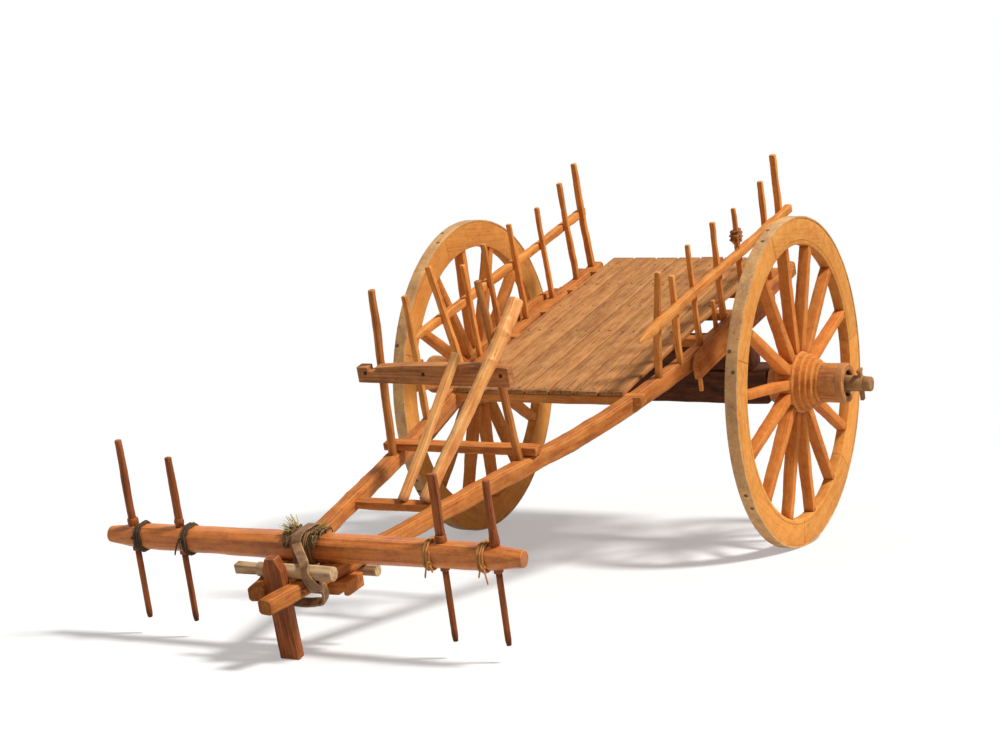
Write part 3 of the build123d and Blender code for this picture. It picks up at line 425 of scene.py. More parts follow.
class Piece:
    """Collects one piece's mesh, with its grain coordinates, tint, and marks for worn edges (wear and painted
    highlight) and for painted shade.
    """

    def __init__(self):
        self.points, self.faces, self.grain, self.tint, self.edge = [], [], [], [], []

    def ring(self, places, grains, edges, tint):
        start = len(self.points)
        self.points += [tuple(p) for p in places]
        self.grain += [tuple(g) for g in grains]
        self.edge += edges
        self.tint += [tint] * len(places)
        return list(range(start, start + len(places)))

    def skin(self, rings, closed):
        """Joins rings in a row, which closes on itself or has two end faces."""
        for first, second in zip(rings, rings[1:] + (rings[:1] if closed else [])):
            for i in range(len(first)):
                j = (i + 1) % len(first)
                self.faces.append((first[i], first[j], second[j], second[i]))
        if not closed:
            self.faces += [tuple(reversed(rings[0])), tuple(rings[-1])]
        return self

    def hew(self, points, sizes, side=ACROSS, section=squared, ease=0.004, step=0.05, wobble=0.001, crook=0.0,
            closed=False, blunt=True, soiled=(0.0, 0.0), soil=1.0):
        """Sweeps a hand-cut section along points; sizes are its width along side and its depth.

        It is darkened over the given lengths at its start and its end, as strongly as its strength says: painted
        shade on end grain and at joints with other parts."""
        points = [Vector(p) for p in points]
        if not isinstance(sizes[0], tuple):
            sizes = [sizes] * len(points)
        sides = side if isinstance(side, list) else [side] * len(points)
        if closed:
            points, sizes, sides = points + [points[0]], sizes + [sizes[0]], sides + [sides[0]]
        tint, seed = rng.random(), random_place()
        places = [0.0]
        for a, b in zip(points, points[1:]):
            places.append(places[-1] + (b - a).length)
        total = places[-1]

        def along(s):
            """The centre, size and side at a distance from the start."""
            s = min(max(s, 0.0), total)
            i = max(k for k in range(len(places) - 1) if places[k] <= s + 1e-9)
            t = (s - places[i]) / max(1e-9, places[i + 1] - places[i])
            size = [a + (b - a) * t for a, b in zip(sizes[i], sizes[i + 1])]
            return points[i].lerp(points[i + 1], t), size, sides[i].lerp(sides[i + 1], t)

        # Each station is a distance, how much the section draws in there, and how strongly its rim is lightened as
        # wear and a painted highlight.
        count = max(1, ceil(total / step))
        stations = [(total * (k + (vary(0.25) if 0 < k < count else 0)) / count, 0.0, 0.0)
                    for k in range(count + 1)]
        if closed:
            stations.pop()
        elif blunt:
            # The blunt ends' rims are lightened: wear and a painted highlight.
            wear_and_highlight_end = [(0.0, ease, 0.0), (ease * 0.3, ease * 0.3, 1.0), (ease, 0.0, 0.0)]
            stations = (wear_and_highlight_end + [s for s in stations if 2 * ease < s[0] < total - 2 * ease]
                        + [(total - s, inset, wear_and_highlight) for s, inset, wear_and_highlight in reversed(wear_and_highlight_end)])
        rings = []
        reach = min(0.02, total * 0.1)
        for s, inset, wear_and_highlight in stations:
            centre, (wide, deep), turned = along(s)
            direction = (along(s + reach)[0] - along(s - reach)[0]).normalized()
            across = square_to(direction, turned)
            upward = direction.cross(across)
            sway = crook * sin(pi * s / total)
            shift = noise.noise_vector(seed + Vector((s * 2.2, 0, 0))) * sway
            centre = centre + across * shift.x + upward * shift.y
            halves = []
            for k, half in enumerate((wide / 2, wide / 2, deep / 2, deep / 2)):
                rough = noise.noise(seed + Vector((s * 9, 7.3 * k, 2.1)))
                rough += 0.4 * noise.noise(seed + Vector((s * 34, 5.1 * k, 6.4)))
                halves.append(max(half * 0.2, half + wobble * (rough - 0.35) * 2 - inset))
            outline = section(*halves)
            if len(outline[0]) == 2:
                outline = eased(outline, ease)
            # Painted shade darkens the ends: the marks fade there and turn negative.
            end_shade = soil * sum(max(0.0, 1 - run / far) for run, far in zip((s, total - s), soiled) if far)
            rings.append(self.ring([centre + across * u + upward * v for u, v, _ in outline],
                                   [seed + Vector((s, u, v)) for u, v, _ in outline],
                                   [max(e, wear_and_highlight) * (1 - end_shade) - end_shade * 0.9 for _, _, e in outline], tint))
        return self.skin(rings, closed)

    def turn(self, centre, profile, way, span=(0.0, 2 * pi), count=96, wobble=0.0, straight=False):
        """Turns a closed profile of (x, radius, wear and painted light mark) about the wheels' axis, its x running
        out that way.

        The wood's grain runs along the axis, or where it is straight across the span's middle."""
        tint, seed = rng.random(), random_place()
        start, end = span
        whole = span == (0.0, 2 * pi)
        middle = (start + end) / 2
        rings = []
        for k in range(count if whole else count + 1):
            angle = start + (end - start) * k / count
            places, grains = [], []
            for x, radius, _ in profile:
                rough = noise.noise(seed + Vector((x * 8, cos(angle) * 3, sin(angle) * 3))) * wobble
                far = radius + rough
                places.append(centre + Vector((way * x + rough * 0.5, -sin(angle) * far, cos(angle) * far)))
                if straight:
                    own = Vector((sin(angle - middle) * far, cos(angle - middle) * far, x))
                else:
                    own = Vector((x, sin(angle) * far, cos(angle) * far))
                grains.append(seed + own)
            rings.append(self.ring(places, grains, [e for _, _, e in profile], tint))
        return self.skin(rings, whole)

    def carve(self, node, axis, side, ease, step, wobble):
        """Takes over a solid of the frame, with eased edges and a hand-cut surface."""
        part = bmesh.new()
        part.from_mesh(nodes[node].data)
        mark = part.verts.layers.float.new("wear_and_highlight")
        bmesh.ops.remove_doubles(part, verts=part.verts, dist=1e-5)
        bmesh.ops.dissolve_limit(part, angle_limit=radians(0.5), verts=part.verts, edges=part.edges)
        edges = [e for e in part.edges if e.is_manifold and e.is_convex
                 and e.calc_face_angle(0) > radians(25) and e.calc_length() > 2.5 * ease]
        bevels = bmesh.ops.bevel(part, geom=edges, offset=ease, offset_type="OFFSET", segments=2, profile=0.6,
                                 affect="EDGES", clamp_overlap=False)["faces"]
        flats = set(part.faces) - set(bevels)
        # Bevel strips are marked to be lightened: wear and a painted highlight.
        for vert in {v for f in bevels for v in f.verts} - {v for f in flats for v in f.verts}:
            vert[mark] = 1.0
        axis = axis.normalized()
        across = square_to(axis, side)
        upward = axis.cross(across)
        spread = [v.co.dot(axis) for v in part.verts]
        low, high = min(spread), max(spread)
        count = ceil((high - low) / step)
        for k in range(1, count):
            bmesh.ops.bisect_plane(part, geom=part.verts[:] + part.edges[:] + part.faces[:],
                                   plane_co=axis * (low + (high - low) * k / count), plane_no=axis)
        bmesh.ops.triangulate(part, faces=[f for f in part.faces if len(f.verts) > 4])
        seed = random_place()
        part.verts.index_update()
        start = len(self.points)
        for vert in part.verts:
            own = Vector((vert.co.dot(axis), vert.co.dot(across), vert.co.dot(upward)))
            rough = (noise.noise_vector(seed + own * 9) + noise.noise_vector(seed + own * 33) * 0.35) * wobble
            self.points.append(tuple(vert.co + across * rough.x + upward * rough.y))
            self.grain.append(tuple(own + seed))
            self.edge.append(vert[mark])
        self.tint += [rng.random()] * len(part.verts)
        # The cuts leave the faces in a chance order, so they are sorted.
        self.faces += sorted(tuple(start + v.index for v in f.verts) for f in part.faces)
        part.free()
        return self

    def show(self, name, material, replaced=None, slot="timber", body="cart", sharp=28):
        """Makes the mesh, which rides on its body and may stand for a node of the frame."""
        mesh = bpy.data.meshes.new(name)
        mesh.from_pydata(self.points, [], self.faces)
        form = bmesh.new()
        form.from_mesh(mesh)
        bmesh.ops.recalc_face_normals(form, faces=form.faces)
        form.to_mesh(mesh)
        form.free()
        for key, values in (("tint", self.tint), ("edge", self.edge)):
            mesh.attributes.new(key, "FLOAT", "POINT").data.foreach_set("value", values)
        flat = [c for g in self.grain for c in g]
        mesh.attributes.new("grain", "FLOAT_VECTOR", "POINT").data.foreach_set("vector", flat)
        mesh.shade_smooth()
        mesh.set_sharp_from_angle(angle=radians(sharp))
        mesh.materials.append(material)
        shown = bpy.data.objects.new(name, mesh)
        scene.collection.objects.link(shown)
        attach(shown, body)
        if replaced:
            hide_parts(replaced)


def cross_bar(piece, half, y, z, size, **cut):
    """Hews a bar that lies across the cart, centred on it."""
    return piece.hew([lv(-half, y, z), lv(half, y, z)], size, side=ALONG, **cut)


# Wheels

WHEEL_X = 0.803
FELLOE_COUNT, SPOKE_COUNT = 7, 14
FELLOE_IN, FELLOE_OUT, FELLOE_HALF = 0.606, 0.7215, 0.0255
TYRE_R, TYRE_HALF = 0.73, 0.027
BORE_R = 0.03509


def both_ways(points, x=0.0):
    """A profile and its mirror image about x, which share their last point."""
    back = [(-a, radius, e) for a, radius, e in points[-2::-1]]
    return [(x + a, radius, e) for a, radius, e in points + back]


def felloe_profile():
    """A felloe with eased inner edges, lightened as wear and a painted highlight, and a line scribed on its outer
    face, darkened with painted shade.
    """
    h, e = FELLOE_HALF, 0.005
    scribed = FELLOE_IN + 0.019
    return [(-h, FELLOE_OUT, 0), (-h, FELLOE_IN + e, 0), (-h + e * 0.3, FELLOE_IN + e * 0.3, 1),
            (-h + e, FELLOE_IN, 0), (0, FELLOE_IN, 0), (h - e, FELLOE_IN, 0),
            (h - e * 0.3, FELLOE_IN + e * 0.3, 1), (h, FELLOE_IN + e, 0), (h, scribed - 0.0016, 0),
            (h - 0.0018, scribed, -1), (h, scribed + 0.0016, 0), (h, (FELLOE_IN + FELLOE_OUT) / 2, 0),
            (h, FELLOE_OUT - 0.004, 0), (h - 0.0012, FELLOE_OUT - 0.0012, 1), (h - 0.004, FELLOE_OUT, 0)]


def hub_profile():
    """The turned hub, from its inner end out along the surface and back through the bore; its marks lighten the
    ridges as wear and a painted highlight, and paint shade into the step corners, beside the nose and in the bore.
    """
    points = [(-0.100, 0.044, 0), (-0.100, 0.088, 0), (-0.0988, 0.0912, 1), (-0.096, 0.092, 0),
              (-0.066, 0.092, 0), (-0.040, 0.133, 0), (-0.0375, 0.1348, 1), (-0.033, 0.135, 0),
              (0.0, 0.1355, 0), (0.029, 0.135, 0), (0.0315, 0.1343, 1)]
    x, radius = 0.039, 0.135
    for width in (0.027, 0.023, 0.021):
        radius -= 0.011
        points += [(x - 0.0005, radius + 0.0012, -0.35), (x + 0.003, radius + 0.0002, -0.1),
                   (x + width * 0.5, radius + 0.0012, 0), (x + width * 0.68, radius + 0.0018, 0.2),
                   (x + width * 0.80, radius + 0.0012, 0.7), (x + width * 0.90, radius - 0.0015, 0.3),
                   (x + width - 0.0005, radius - 0.0065, 0)]
        x += width
    return points + [(x + 0.004, 0.0885, -0.5), (x + 0.009, 0.0880, 0), (x + 0.012, 0.0898, 0.8),
                     (x + 0.017, 0.0896, 0.3), (x + 0.021, 0.0872, -0.5), (x + 0.021, 0.044, -1)]


# The hub's outer end, from the bead out and back through its recess, its outer rim lightened as wear and a painted
# highlight and its recess darkened with painted shade
NOSE = [(0.1305, 0.0872, -0.4), (0.134, 0.0872, 0), (0.160, 0.0866, 0), (0.180, 0.0870, 0),
        (0.200, 0.0872, 0), (0.2095, 0.0868, 0), (0.238, 0.0872, 0), (0.2425, 0.0856, 1), (0.245, 0.081, 0.4),
        (0.245, 0.065, 0), (0.2435, 0.0595, 0.7), (0.240, 0.057, -0.2), (0.232, 0.0568, -1),
        (0.224, 0.0565, -1), (0.223, 0.044, -1), (0.1305, 0.044, -1)]
LINER = [(-0.105, BORE_R, 0), (-0.105, 0.0425, 0), (-0.1045, 0.0431, 1), (0.2275, 0.0431, 1),
         (0.228, 0.0425, 0), (0.228, BORE_R, 0)]


def tyre_profile():
    """A thin hoop, worn a little hollow on its tread."""
    h, r = TYRE_HALF, TYRE_R
    return both_ways([(-h, r - 0.008, 0), (-h, r - 0.0015, 0), (0.0008 - h, r - 0.0004, 1),
                      (0.0022 - h, r, 0), (-0.012, r - 0.0002, 0), (0.0, r - 0.0003, 0)])


def band_profile(x, radius):
    """An iron band round the nave."""
    return both_ways([(-0.013, radius - 0.003, 0), (-0.013, radius + 0.0002, 0), (-0.012, radius + 0.0012, 1),
                      (0.0, radius + 0.0015, 0)], x)


def ray(angle):
    """The way out from a wheel's middle at an angle from its top."""
    return Vector((0, -sin(angle), cos(angle)))


def rim(body, centre, way):
    felloes = Piece()
    turned, joint = 2 * pi / FELLOE_COUNT, 0.0011 / 0.66
    for i in range(FELLOE_COUNT):
        start = 2 * pi * (i + 0.5) / FELLOE_COUNT + joint
        span = (start, start + turned - 2 * joint)
        felloes.turn(centre, felloe_profile(), way, span, 30, 0.0016, straight=True)
    felloes.show(f"{body}_rim", WHEEL_WOOD, f"{body}_felloes", "wheel_timber", body)


def spoke_set(body, centre):
    spokes = Piece()
    for i in range(SPOKE_COUNT):
        out = ray(2 * pi * (i + 0.5) / SPOKE_COUNT)
        # Each spoke darkens towards the nave and the felloe: painted shade at the joints.
        spokes.hew([centre + out * far for far in (0.124, 0.45, 0.609)],
                   [(0.056, 0.043), (0.0513, 0.0376), (0.049, 0.035)], ease=0.0036, step=0.012, wobble=0.0011,
                   crook=0.0012, blunt=False, soiled=(0.034, 0.018))
    spokes.show(f"{body}_spoke_set", SPOKE_WOOD, f"{body}_spokes", "wheel_timber", body)


def tyre_nails(body, centre):
    """Two nails beside each joint of the felloes."""
    nails = Piece()
    for i in range(FELLOE_COUNT * 2):
        out = ray(2 * pi * (i // 2 + 0.5) / FELLOE_COUNT + rng.uniform(0.03, 0.09) * (1 if i % 2 else -1))
        spot = centre + out * (TYRE_R - 0.003) + ACROSS * rng.choice((-0.012, 0.010, 0.002))
        nails.hew([spot, spot + out * 0.0043], (0.019, 0.017), section=rounded(14), ease=0.0014, step=0.01,
                  wobble=0.0005)
    nails.show(f"{body}_nails", NAIL_IRON, None, "iron", body)


def wheel(name, way):
    body, centre = f"wheel_{name}", AXLE + ACROSS * way * WHEEL_X

    def turned(profiles, shown, material, node, slot="wheel_timber", **cut):
        piece = Piece()
        for profile in profiles:
            piece.turn(centre, profile, way, **cut)
        piece.show(f"{body}_{shown}", material, node and f"{body}_{node}", slot, body)

    rim(body, centre, way)
    spoke_set(body, centre)
    turned([hub_profile()], "hub", NAVE_WOOD, "nave", count=112, wobble=0.0010)
    turned([NOSE], "hub_nose", NOSE_WOOD, None, count=112, wobble=0.0006)
    turned([tyre_profile()], "hoop", DUSTY_IRON, "tyre", "iron", count=180)
    tyre_nails(body, centre)
    bands = [band_profile(-0.083, 0.092), band_profile(0.224, 0.0875)]
    turned(bands, "hoops", BAND_IRON, "nave_bands", "iron", wobble=0.0003)
    turned([LINER], "bore", DARK_IRON, "nave_liner", "iron", count=72)


wheel("left", 1)
wheel("right", -1)


# Axle, its bed and the linchpins

AXLE_Z, BED_Z = 0.73, 0.8688
ARM_START, ARM_END, AXLE_END = 0.60, 1.118, 1.155

cross_bar(Piece(), 0.69, 0, 0.7225, (0.140, 0.155), ease=0.007, wobble=0.002).show(
    "axle_tree", DARK_WOOD, "axle", "dark_timber")
arms = Piece()
for way in (1, -1):
    arms.hew([lv(way * ARM_START, 0, AXLE_Z), lv(way * ARM_END, 0, AXLE_Z)], (0.07, 0.07), side=ALONG,
             section=rounded(72), ease=0.003, step=0.1, wobble=0)
    # The tip darkens where it meets the arm: painted shade at the joint.
    arms.hew([lv(way * x, 0, AXLE_Z) for x in (ARM_END - 0.008, ARM_END + 0.004, AXLE_END)],
             [(0.064, 0.064), (0.071, 0.071), (0.067, 0.068)], side=ALONG, section=rounded(40), ease=0.007,
             step=0.006, wobble=0.0024, soiled=(0.012, 0.0))
arms.show("axle_arms", ARM_WOOD, None, "dark_timber")
cross_bar(Piece(), 0.625, 0, BED_Z, (0.118, 0.137), ease=0.007, wobble=0.002).show(
    "axle_bed", DARK_WOOD, "bolster", "dark_timber")
for name in ("left", "right"):
    Piece().carve(f"linchpin_{name}", UPWARDS, ACROSS, 0.002, 0.02, 0.0004).show(
        f"axle_pin_{name}", DARK_IRON, f"linchpin_{name}", "iron")


# Bed

BEAM_X, BEAM_Z, BEAM_DEEP = 0.5, 0.975, 0.075
PLAN_SLOPE, POLE_SLOPE = 0.172, 0.07245
POLE_X, LEG_Y = 0.07, -2.95
RAIL_X, RAIL_Z = 0.533, 1.27
PLANK_COUNT, PLANK_PITCH, PLANK_Z = 7, 0.117, 1.0235
BED_FRONT, BED_BACK = -0.89, 0.8
# Places of the crossbars along the bed, and half their lengths
CROSSBARS = ((-0.864, 0.488), (-0.19, 0.532), (0.13, 0.532), (0.42, 0.532), (0.68, 0.564))


def softened(run, reach):
    """How far a bend has run, easing in over its reach."""
    if run < -reach:
        return 0.0
    return run if run > reach else (run + reach) ** 2 / (4 * reach)


def beam_line(y):
    """The beams' centre line at one place: distance from the middle, height and depth."""
    x = BEAM_X - PLAN_SLOPE * softened(-0.4502 - y, 0.5)
    run = softened(-1.15 - y, 0.22)
    return x, BEAM_Z + POLE_SLOPE * run, BEAM_DEEP - 0.017 * run / 1.96


for way, name, tip in ((1, "left", -3.11), (-1, "right", -3.0)):
    places = [BED_BACK - (BED_BACK - tip) * k / 60 for k in range(61)]
    rows = [beam_line(y) for y in places]
    line = [lv(way * x, y, z) for y, (x, z, _) in zip(places, rows)]
    # The beams darken at both ends: painted shade on the end grain.
    Piece().hew(line, [(0.064, deep) for _, _, deep in rows], section=bevelled, ease=0.003, step=0.022,
                wobble=0.0015, soiled=(0.009, 0.009), soil=0.7).show(
        f"bed_beam_{name}", POLE_WOOD, f"beam_{name}", sharp=17)

bars = Piece()
for y, half in CROSSBARS:
    # The bars darken at their ends: painted shade on the end grain.
    cross_bar(bars, half, y, 0.9925, (0.052, 0.040), wobble=0.0012, soiled=(0.009, 0.009), soil=0.5)
bars.show("floor_bars", BED_WOOD, "bed_crossbars")

planks, nails = Piece(), Piece()
for i in range(PLANK_COUNT):
    x = (i - PLANK_COUNT // 2) * PLANK_PITCH
    # The planks darken at their ends: painted shade on the end grain.
    planks.hew([lv(x, BED_FRONT + rng.uniform(0, 0.007), PLANK_Z),
                lv(x + vary(0.002), BED_BACK - rng.uniform(0, 0.007), PLANK_Z)],
               (0.112 - rng.uniform(0, 0.004), 0.022), ease=0.003, step=0.035, wobble=0.0013,
               soiled=(0.014, 0.014), soil=0.5)
planks.show("floor_boards", FLOOR_WOOD, "floor_planks")
for i in range(PLANK_COUNT):
    for y, _ in CROSSBARS:
        for shift in (-0.026, 0.027):
            x = (i - PLANK_COUNT // 2) * PLANK_PITCH + shift + vary(0.006)
            place = y + vary(0.008)
            nails.hew([lv(x, place, 1.031), lv(x, place, 1.0356)], (0.010, 0.010), section=rounded(10),
                      ease=0.0012, step=0.01, wobble=0.0004)
nails.show("floor_nails", NAIL_IRON, None, "iron")

# The stakes' places, tops, widths and depths in mm
STAKES = {"left": ((-660, 1482, 30, 34), (-490, 1405, 27, 30), (-285, 1470, 25, 28), (-100, 1150, 20, 22),
                   (-10, 1478, 27, 30), (230, 1462, 25, 28), (560, 1480, 27, 30), (740, 1550, 30, 34)),
          "right": ((-1180, 1565, 28, 30), (-680, 1515, 30, 34), (-450, 1440, 26, 28), (-240, 1465, 26, 28),
                    (20, 1470, 27, 30), (300, 1455, 25, 28), (560, 1490, 27, 30), (740, 1530, 30, 34))}
# The rail's places, rises, widths and depths, from its pointed front end
RAIL = ((-0.912, -0.004, 0.010, 0.016), (-0.87, -0.002, 0.024, 0.027), (-0.80, 0, 0.036, 0.038),
        (-0.3, 0.003, 0.036, 0.041), (0.2, -0.003, 0.035, 0.038), (0.8, 0.002, 0.036, 0.040))


def stake_line(way, y, z):
    """The stakes beside the bed lean so that they pass just inside the rail."""
    foot = min(BEAM_X, POLE_X + PLAN_SLOPE * (y - LEG_Y))
    lean = (RAIL_X - 0.0265 - foot) / (RAIL_Z - BEAM_Z) if y > -0.915 else 0
    return lv(way * (foot + lean * (z - BEAM_Z)), y, z)


for name, way in (("left", 1), ("right", -1)):
    posts, pegs = Piece(), Piece()
    for y, top, wide, deep in [[v / 1000 for v in row] for row in STAKES[name]]:
        foot, head = stake_line(way, y, 0.968), stake_line(way, y, top)
        # The stakes darken over their feet: painted shade where they meet the beams.
        posts.hew([foot, foot.lerp(head, 0.5), head], [(deep * k, wide * k) for k in (1, 0.95, 0.85)],
                  ease=0.0035, step=0.022, wobble=0.0018, crook=0.007, soiled=(0.085, 0.0))
    posts.show(f"side_stakes_{name}", STAKE_WOOD, f"stakes_{name}")
    Piece().hew([lv(way * RAIL_X, y, RAIL_Z + lift) for y, lift, _, _ in RAIL], [row[2:] for row in RAIL],
                ease=0.004, step=0.025, wobble=0.0022, crook=0.004).show(
        f"side_rail_{name}", STAKE_WOOD, f"rail_{name}")
    Piece().carve(f"cheek_{name}", ALONG, UPWARDS, 0.005, 0.07, 0.0012).show(
        f"side_cheek_{name}", BED_WOOD, f"cheek_{name}")
    for y in (-0.425, 0.425):
        pegs.hew([lv(way * 0.546, y, z) for z in (0.855, 0.929)], (0.016, 0.016), ease=0.003, step=0.03,
                 wobble=0.0008)
    pegs.show(f"cheek_pins_{name}", STAKE_WOOD, f"cheek_pegs_{name}")


# Front

STAND_Y, SLEEPER_Y, SPREADER_Y = -1.62, -1.56, -2.08

for name, way, top in (("left", 1, 1.791), ("right", -1, 1.752)):
    foot, head = lv(way * 0.292, STAND_Y, 1.0), lv(way * 0.243, STAND_Y, top)
    # The stake darkens over its foot: painted shade where it meets the bed.
    Piece().hew([foot, foot.lerp(head, 0.4), foot.lerp(head, 0.75), head],
                [(0.034, 0.034), (0.033, 0.034), (0.032, 0.033), (0.029, 0.030)], section=faceted, ease=0.003,
                step=0.022, wobble=0.0016, crook=0.006, soiled=(0.09, 0)).show(
        f"front_stake_{name}", STAND_WOOD, f"tall_stake_{name}", sharp=17)
Piece().carve("front_crossbar", ACROSS, UPWARDS, 0.003, 0.05, 0.0010).show(
    "front_bar", BAR_WOOD, "front_crossbar")
# The sleeper darkens at its ends: painted shade on the end grain.
cross_bar(Piece(), 0.35, SLEEPER_Y, 1.0604, (0.056, 0.036), wobble=0.0014, soiled=(0.009, 0.009),
          soil=0.5).show("front_sleeper_bar", POLE_WOOD, "front_sleeper")
cross_bar(Piece(), 0.222, SPREADER_Y, 1.0422, (0.050, 0.034), wobble=0.0012).show(
    "pole_spreader_bar", POLE_WOOD, "pole_spreader")


def lean_points(thickness):
    """Foot on the spreader and the place over the crossbar's front edge, with the slope between."""
    foot, edge, out = (SPREADER_Y, 1.0588), (-1.682, 1.461), thickness / 2
    angle = atan2(edge[1] - foot[1], edge[0] - foot[0])
    return foot, (edge[0] - out * sin(angle), edge[1] + out * cos(angle)), angle


foot, high, angle = lean_points(0.0336)
# The stick darkens at its foot: painted shade where it meets the spreader.
Piece().hew([lv(0.022, foot[0] - 0.0106, foot[1] + 0.004),
             lv(0.118, high[0] + 0.045 * cos(angle), high[1] + 0.045 * sin(angle))],
            (0.033, 0.033), ease=0.003, step=0.02, wobble=0.0013, crook=0.005, soiled=(0.03, 0)).show(
    "leaning_stick", PALE_WOOD, "leaning_pole")

# The branch's swellings, as shares of its length and heights, and its knots, as shares, ways out,
# radii and heights
SWELLINGS = ((0.15, 0.0012), (0.31, 0.0024), (0.52, 0.0018), (0.70, 0.0030), (0.86, 0.0014))
BRANCH_KNOTS = ((0.30, (0.5, -0.8, 0.3), 0.017, 0.005), (0.52, (-0.6, -0.7, 0.4), 0.013, 0.004),
                (0.69, (0.9, -0.3, 0.3), 0.019, 0.006), (0.84, (-0.2, 0.8, 0.5), 0.015, 0.005),
                (0.90, (0.3, -0.9, 0.3), 0.014, 0.004))


def branch_width(share):
    swell = sum(size * 2.718 ** (-((share - at) / 0.025) ** 2) for at, size in SWELLINGS)
    return 0.054 + 0.010 * min(1.0, share / 0.75) + swell * 2


def branch():
    """The natural branch that leans beside the squared stick, with a bend over the crossbar."""
    foot, high, angle = lean_points(0.0626)
    knee = (0.3075, high[0] + 0.09 * cos(angle), high[1] + 0.09 * sin(angle))
    route = bent([lv(0.128, foot[0] - 0.017, foot[1] + 0.010), lv(*knee),
                  lv(knee[0] + 0.018, knee[1] + 0.150, knee[2] + 0.118)], 0.16, steps=8)
    last = len(route) - 1
    widths = [(branch_width(k / last),) * 2 for k in range(len(route))]
    # The branch darkens at its foot: painted shade where it meets the spreader.
    bough = Piece().hew(route, widths, section=rounded(28), ease=0.006, step=0.008, wobble=0.0022,
                        crook=0.006, soiled=(0.04, 0.0))
    for share, outward, radius, lift in BRANCH_KNOTS:
        k = int(share * last)
        outward = square_to((route[k + 1] - route[k]).normalized(), Vector(outward))
        spot = route[k].lerp(route[k + 1], share * last - k) + outward * widths[k][0] / 2
        for i, place in enumerate(bough.points):
            near = (Vector(place) - spot).length / radius
            if near < 1:
                bough.points[i] = tuple(Vector(place) + outward * lift * (1 - near * near) ** 2)
                bough.edge[i] = -0.8 * max(0.0, 1 - near / 0.5) + 0.6 * max(0.0, 1 - abs(near - 0.7) / 0.3)
    bough.show("leaning_bough", PALE_WOOD, "leaning_branch")


branch()


# Pole head

PEG_Y, PEG_Z = -2.9022, 1.1597

Piece().carve("pole_leg", UPWARDS, ACROSS, 0.005, 0.05, 0.0012).show(
    "prop_leg", LEG_WOOD, "pole_leg", "polished_timber")
cross_bar(Piece(), 0.118, LEG_Y, 1.1054, (0.018, 0.018), section=rounded(16), ease=0.002, step=0.03,
          wobble=0.0006).show("leg_peg", PIN_WOOD, "leg_pin")
peg = Piece()
peg.hew([lv(x, PEG_Y, PEG_Z) for x in (0.217, -0.100)], (0.055, 0.055), side=ALONG, section=rounded(30),
        ease=0.003, step=0.03, wobble=0.0012)
peg.hew([lv(x, PEG_Y, PEG_Z) for x in (-0.095, -0.196)], (0.041, 0.041), side=ALONG, ease=0.004, step=0.025,
        wobble=0.0022)
peg.show("cross_peg", GREY_WOOD, "pole_peg", "grey_timber")
Piece().carve("under_block", ACROSS, ALONG, 0.004, 0.04, 0.0014).show("cross_block", POLE_WOOD, "under_block")
Piece().carve("under_log", ACROSS, ALONG, 0.003, 0.03, 0.0020).show(
    "cross_log", GREY_WOOD, "under_log", "grey_timber")


# Yoke, about its own middle

YOKE = Matrix.Translation(SWIVEL["pos_m"]) @ Matrix((ACROSS, YOKE_BACK, YOKE_UP)).transposed().to_4x4()
YOKE_EASE = 0.0035
SHOULDER, YOKE_END = 0.75, 0.885
# The neck pins' places along the yoke and their heights over it
YOKE_PINS = (("left_outer", 0.775, 0.285), ("left_inner", 0.560, 0.300), ("right_inner", -0.560, 0.320),
             ("right_outer", -0.775, 0.380))


def yk(x, y, z):
    """A point of the yoke's own frame."""
    return YOKE @ Vector((x, y, z))


def yoke_size(x):
    """The yoke's depth and height: nearly even to its shoulders, then tapering to its ends."""
    slim = 0.008 * max(0.0, (min(abs(x), SHOULDER) - 0.165) / 0.585)
    share = max(0.0, (abs(x) - SHOULDER) / (YOKE_END - SHOULDER))
    return tuple(size + (0.064 - size) * share for size in (0.094 - slim, 0.098 - slim))


def to_round(right, left, top, bottom):
    """The yoke's section: eight-sided, and round where it is slimmer, towards its ends."""
    share = min(1.0, max(0.0, (0.0830 - right - left) / 0.010))
    outline = []
    for k, (u, v, edge) in enumerate(eased(faceted(right, left, top, bottom), YOKE_EASE)):
        angle = radians(15 * k - 37.5)
        round_u = cos(angle) * (right if cos(angle) > 0 else left)
        round_v = sin(angle) * (top if sin(angle) > 0 else bottom)
        outline.append((u + (round_u - u) * share, v + (round_v - v) * share, edge * (1 - share)))
    return outline


spans = [-YOKE_END, -0.82, -SHOULDER, -0.6, -0.4, -0.165, 0, 0.165, 0.4, 0.6, SHOULDER, 0.82, YOKE_END]
# The yoke darkens at both ends: painted shade on the end grain.
Piece().hew([yk(x, 0, 0) for x in spans], [yoke_size(x) for x in spans], side=YOKE_BACK, section=to_round,
            ease=YOKE_EASE, step=0.025, wobble=0.0012, soiled=(0.006, 0.006), soil=0.45).show(
    "yoke_timber", YOKE_WOOD, "yoke", "polished_timber", "yoke", sharp=17)

# The knob of each pin: heights and widths, section, and how it is cut
KNOBS = {"right_inner": (((0.0, 0.014), (0.004, 0.027), (0.010, 0.035), (0.020, 0.040), (0.030, 0.035),
                          (0.037, 0.027)), rounded(20), 0.001, 0.004, 0.0005),
         "left_outer": (((0.0, 0.034), (0.008, 0.040), (0.026, 0.039), (0.045, 0.033), (0.065, 0.029)),
                        rounded(16), 0.003, 0.008, 0.0008)}
PLAIN_KNOB = (((0.0, 0.040), (0.026, 0.040)), faceted, 0.003, 0.03, 0.0008)


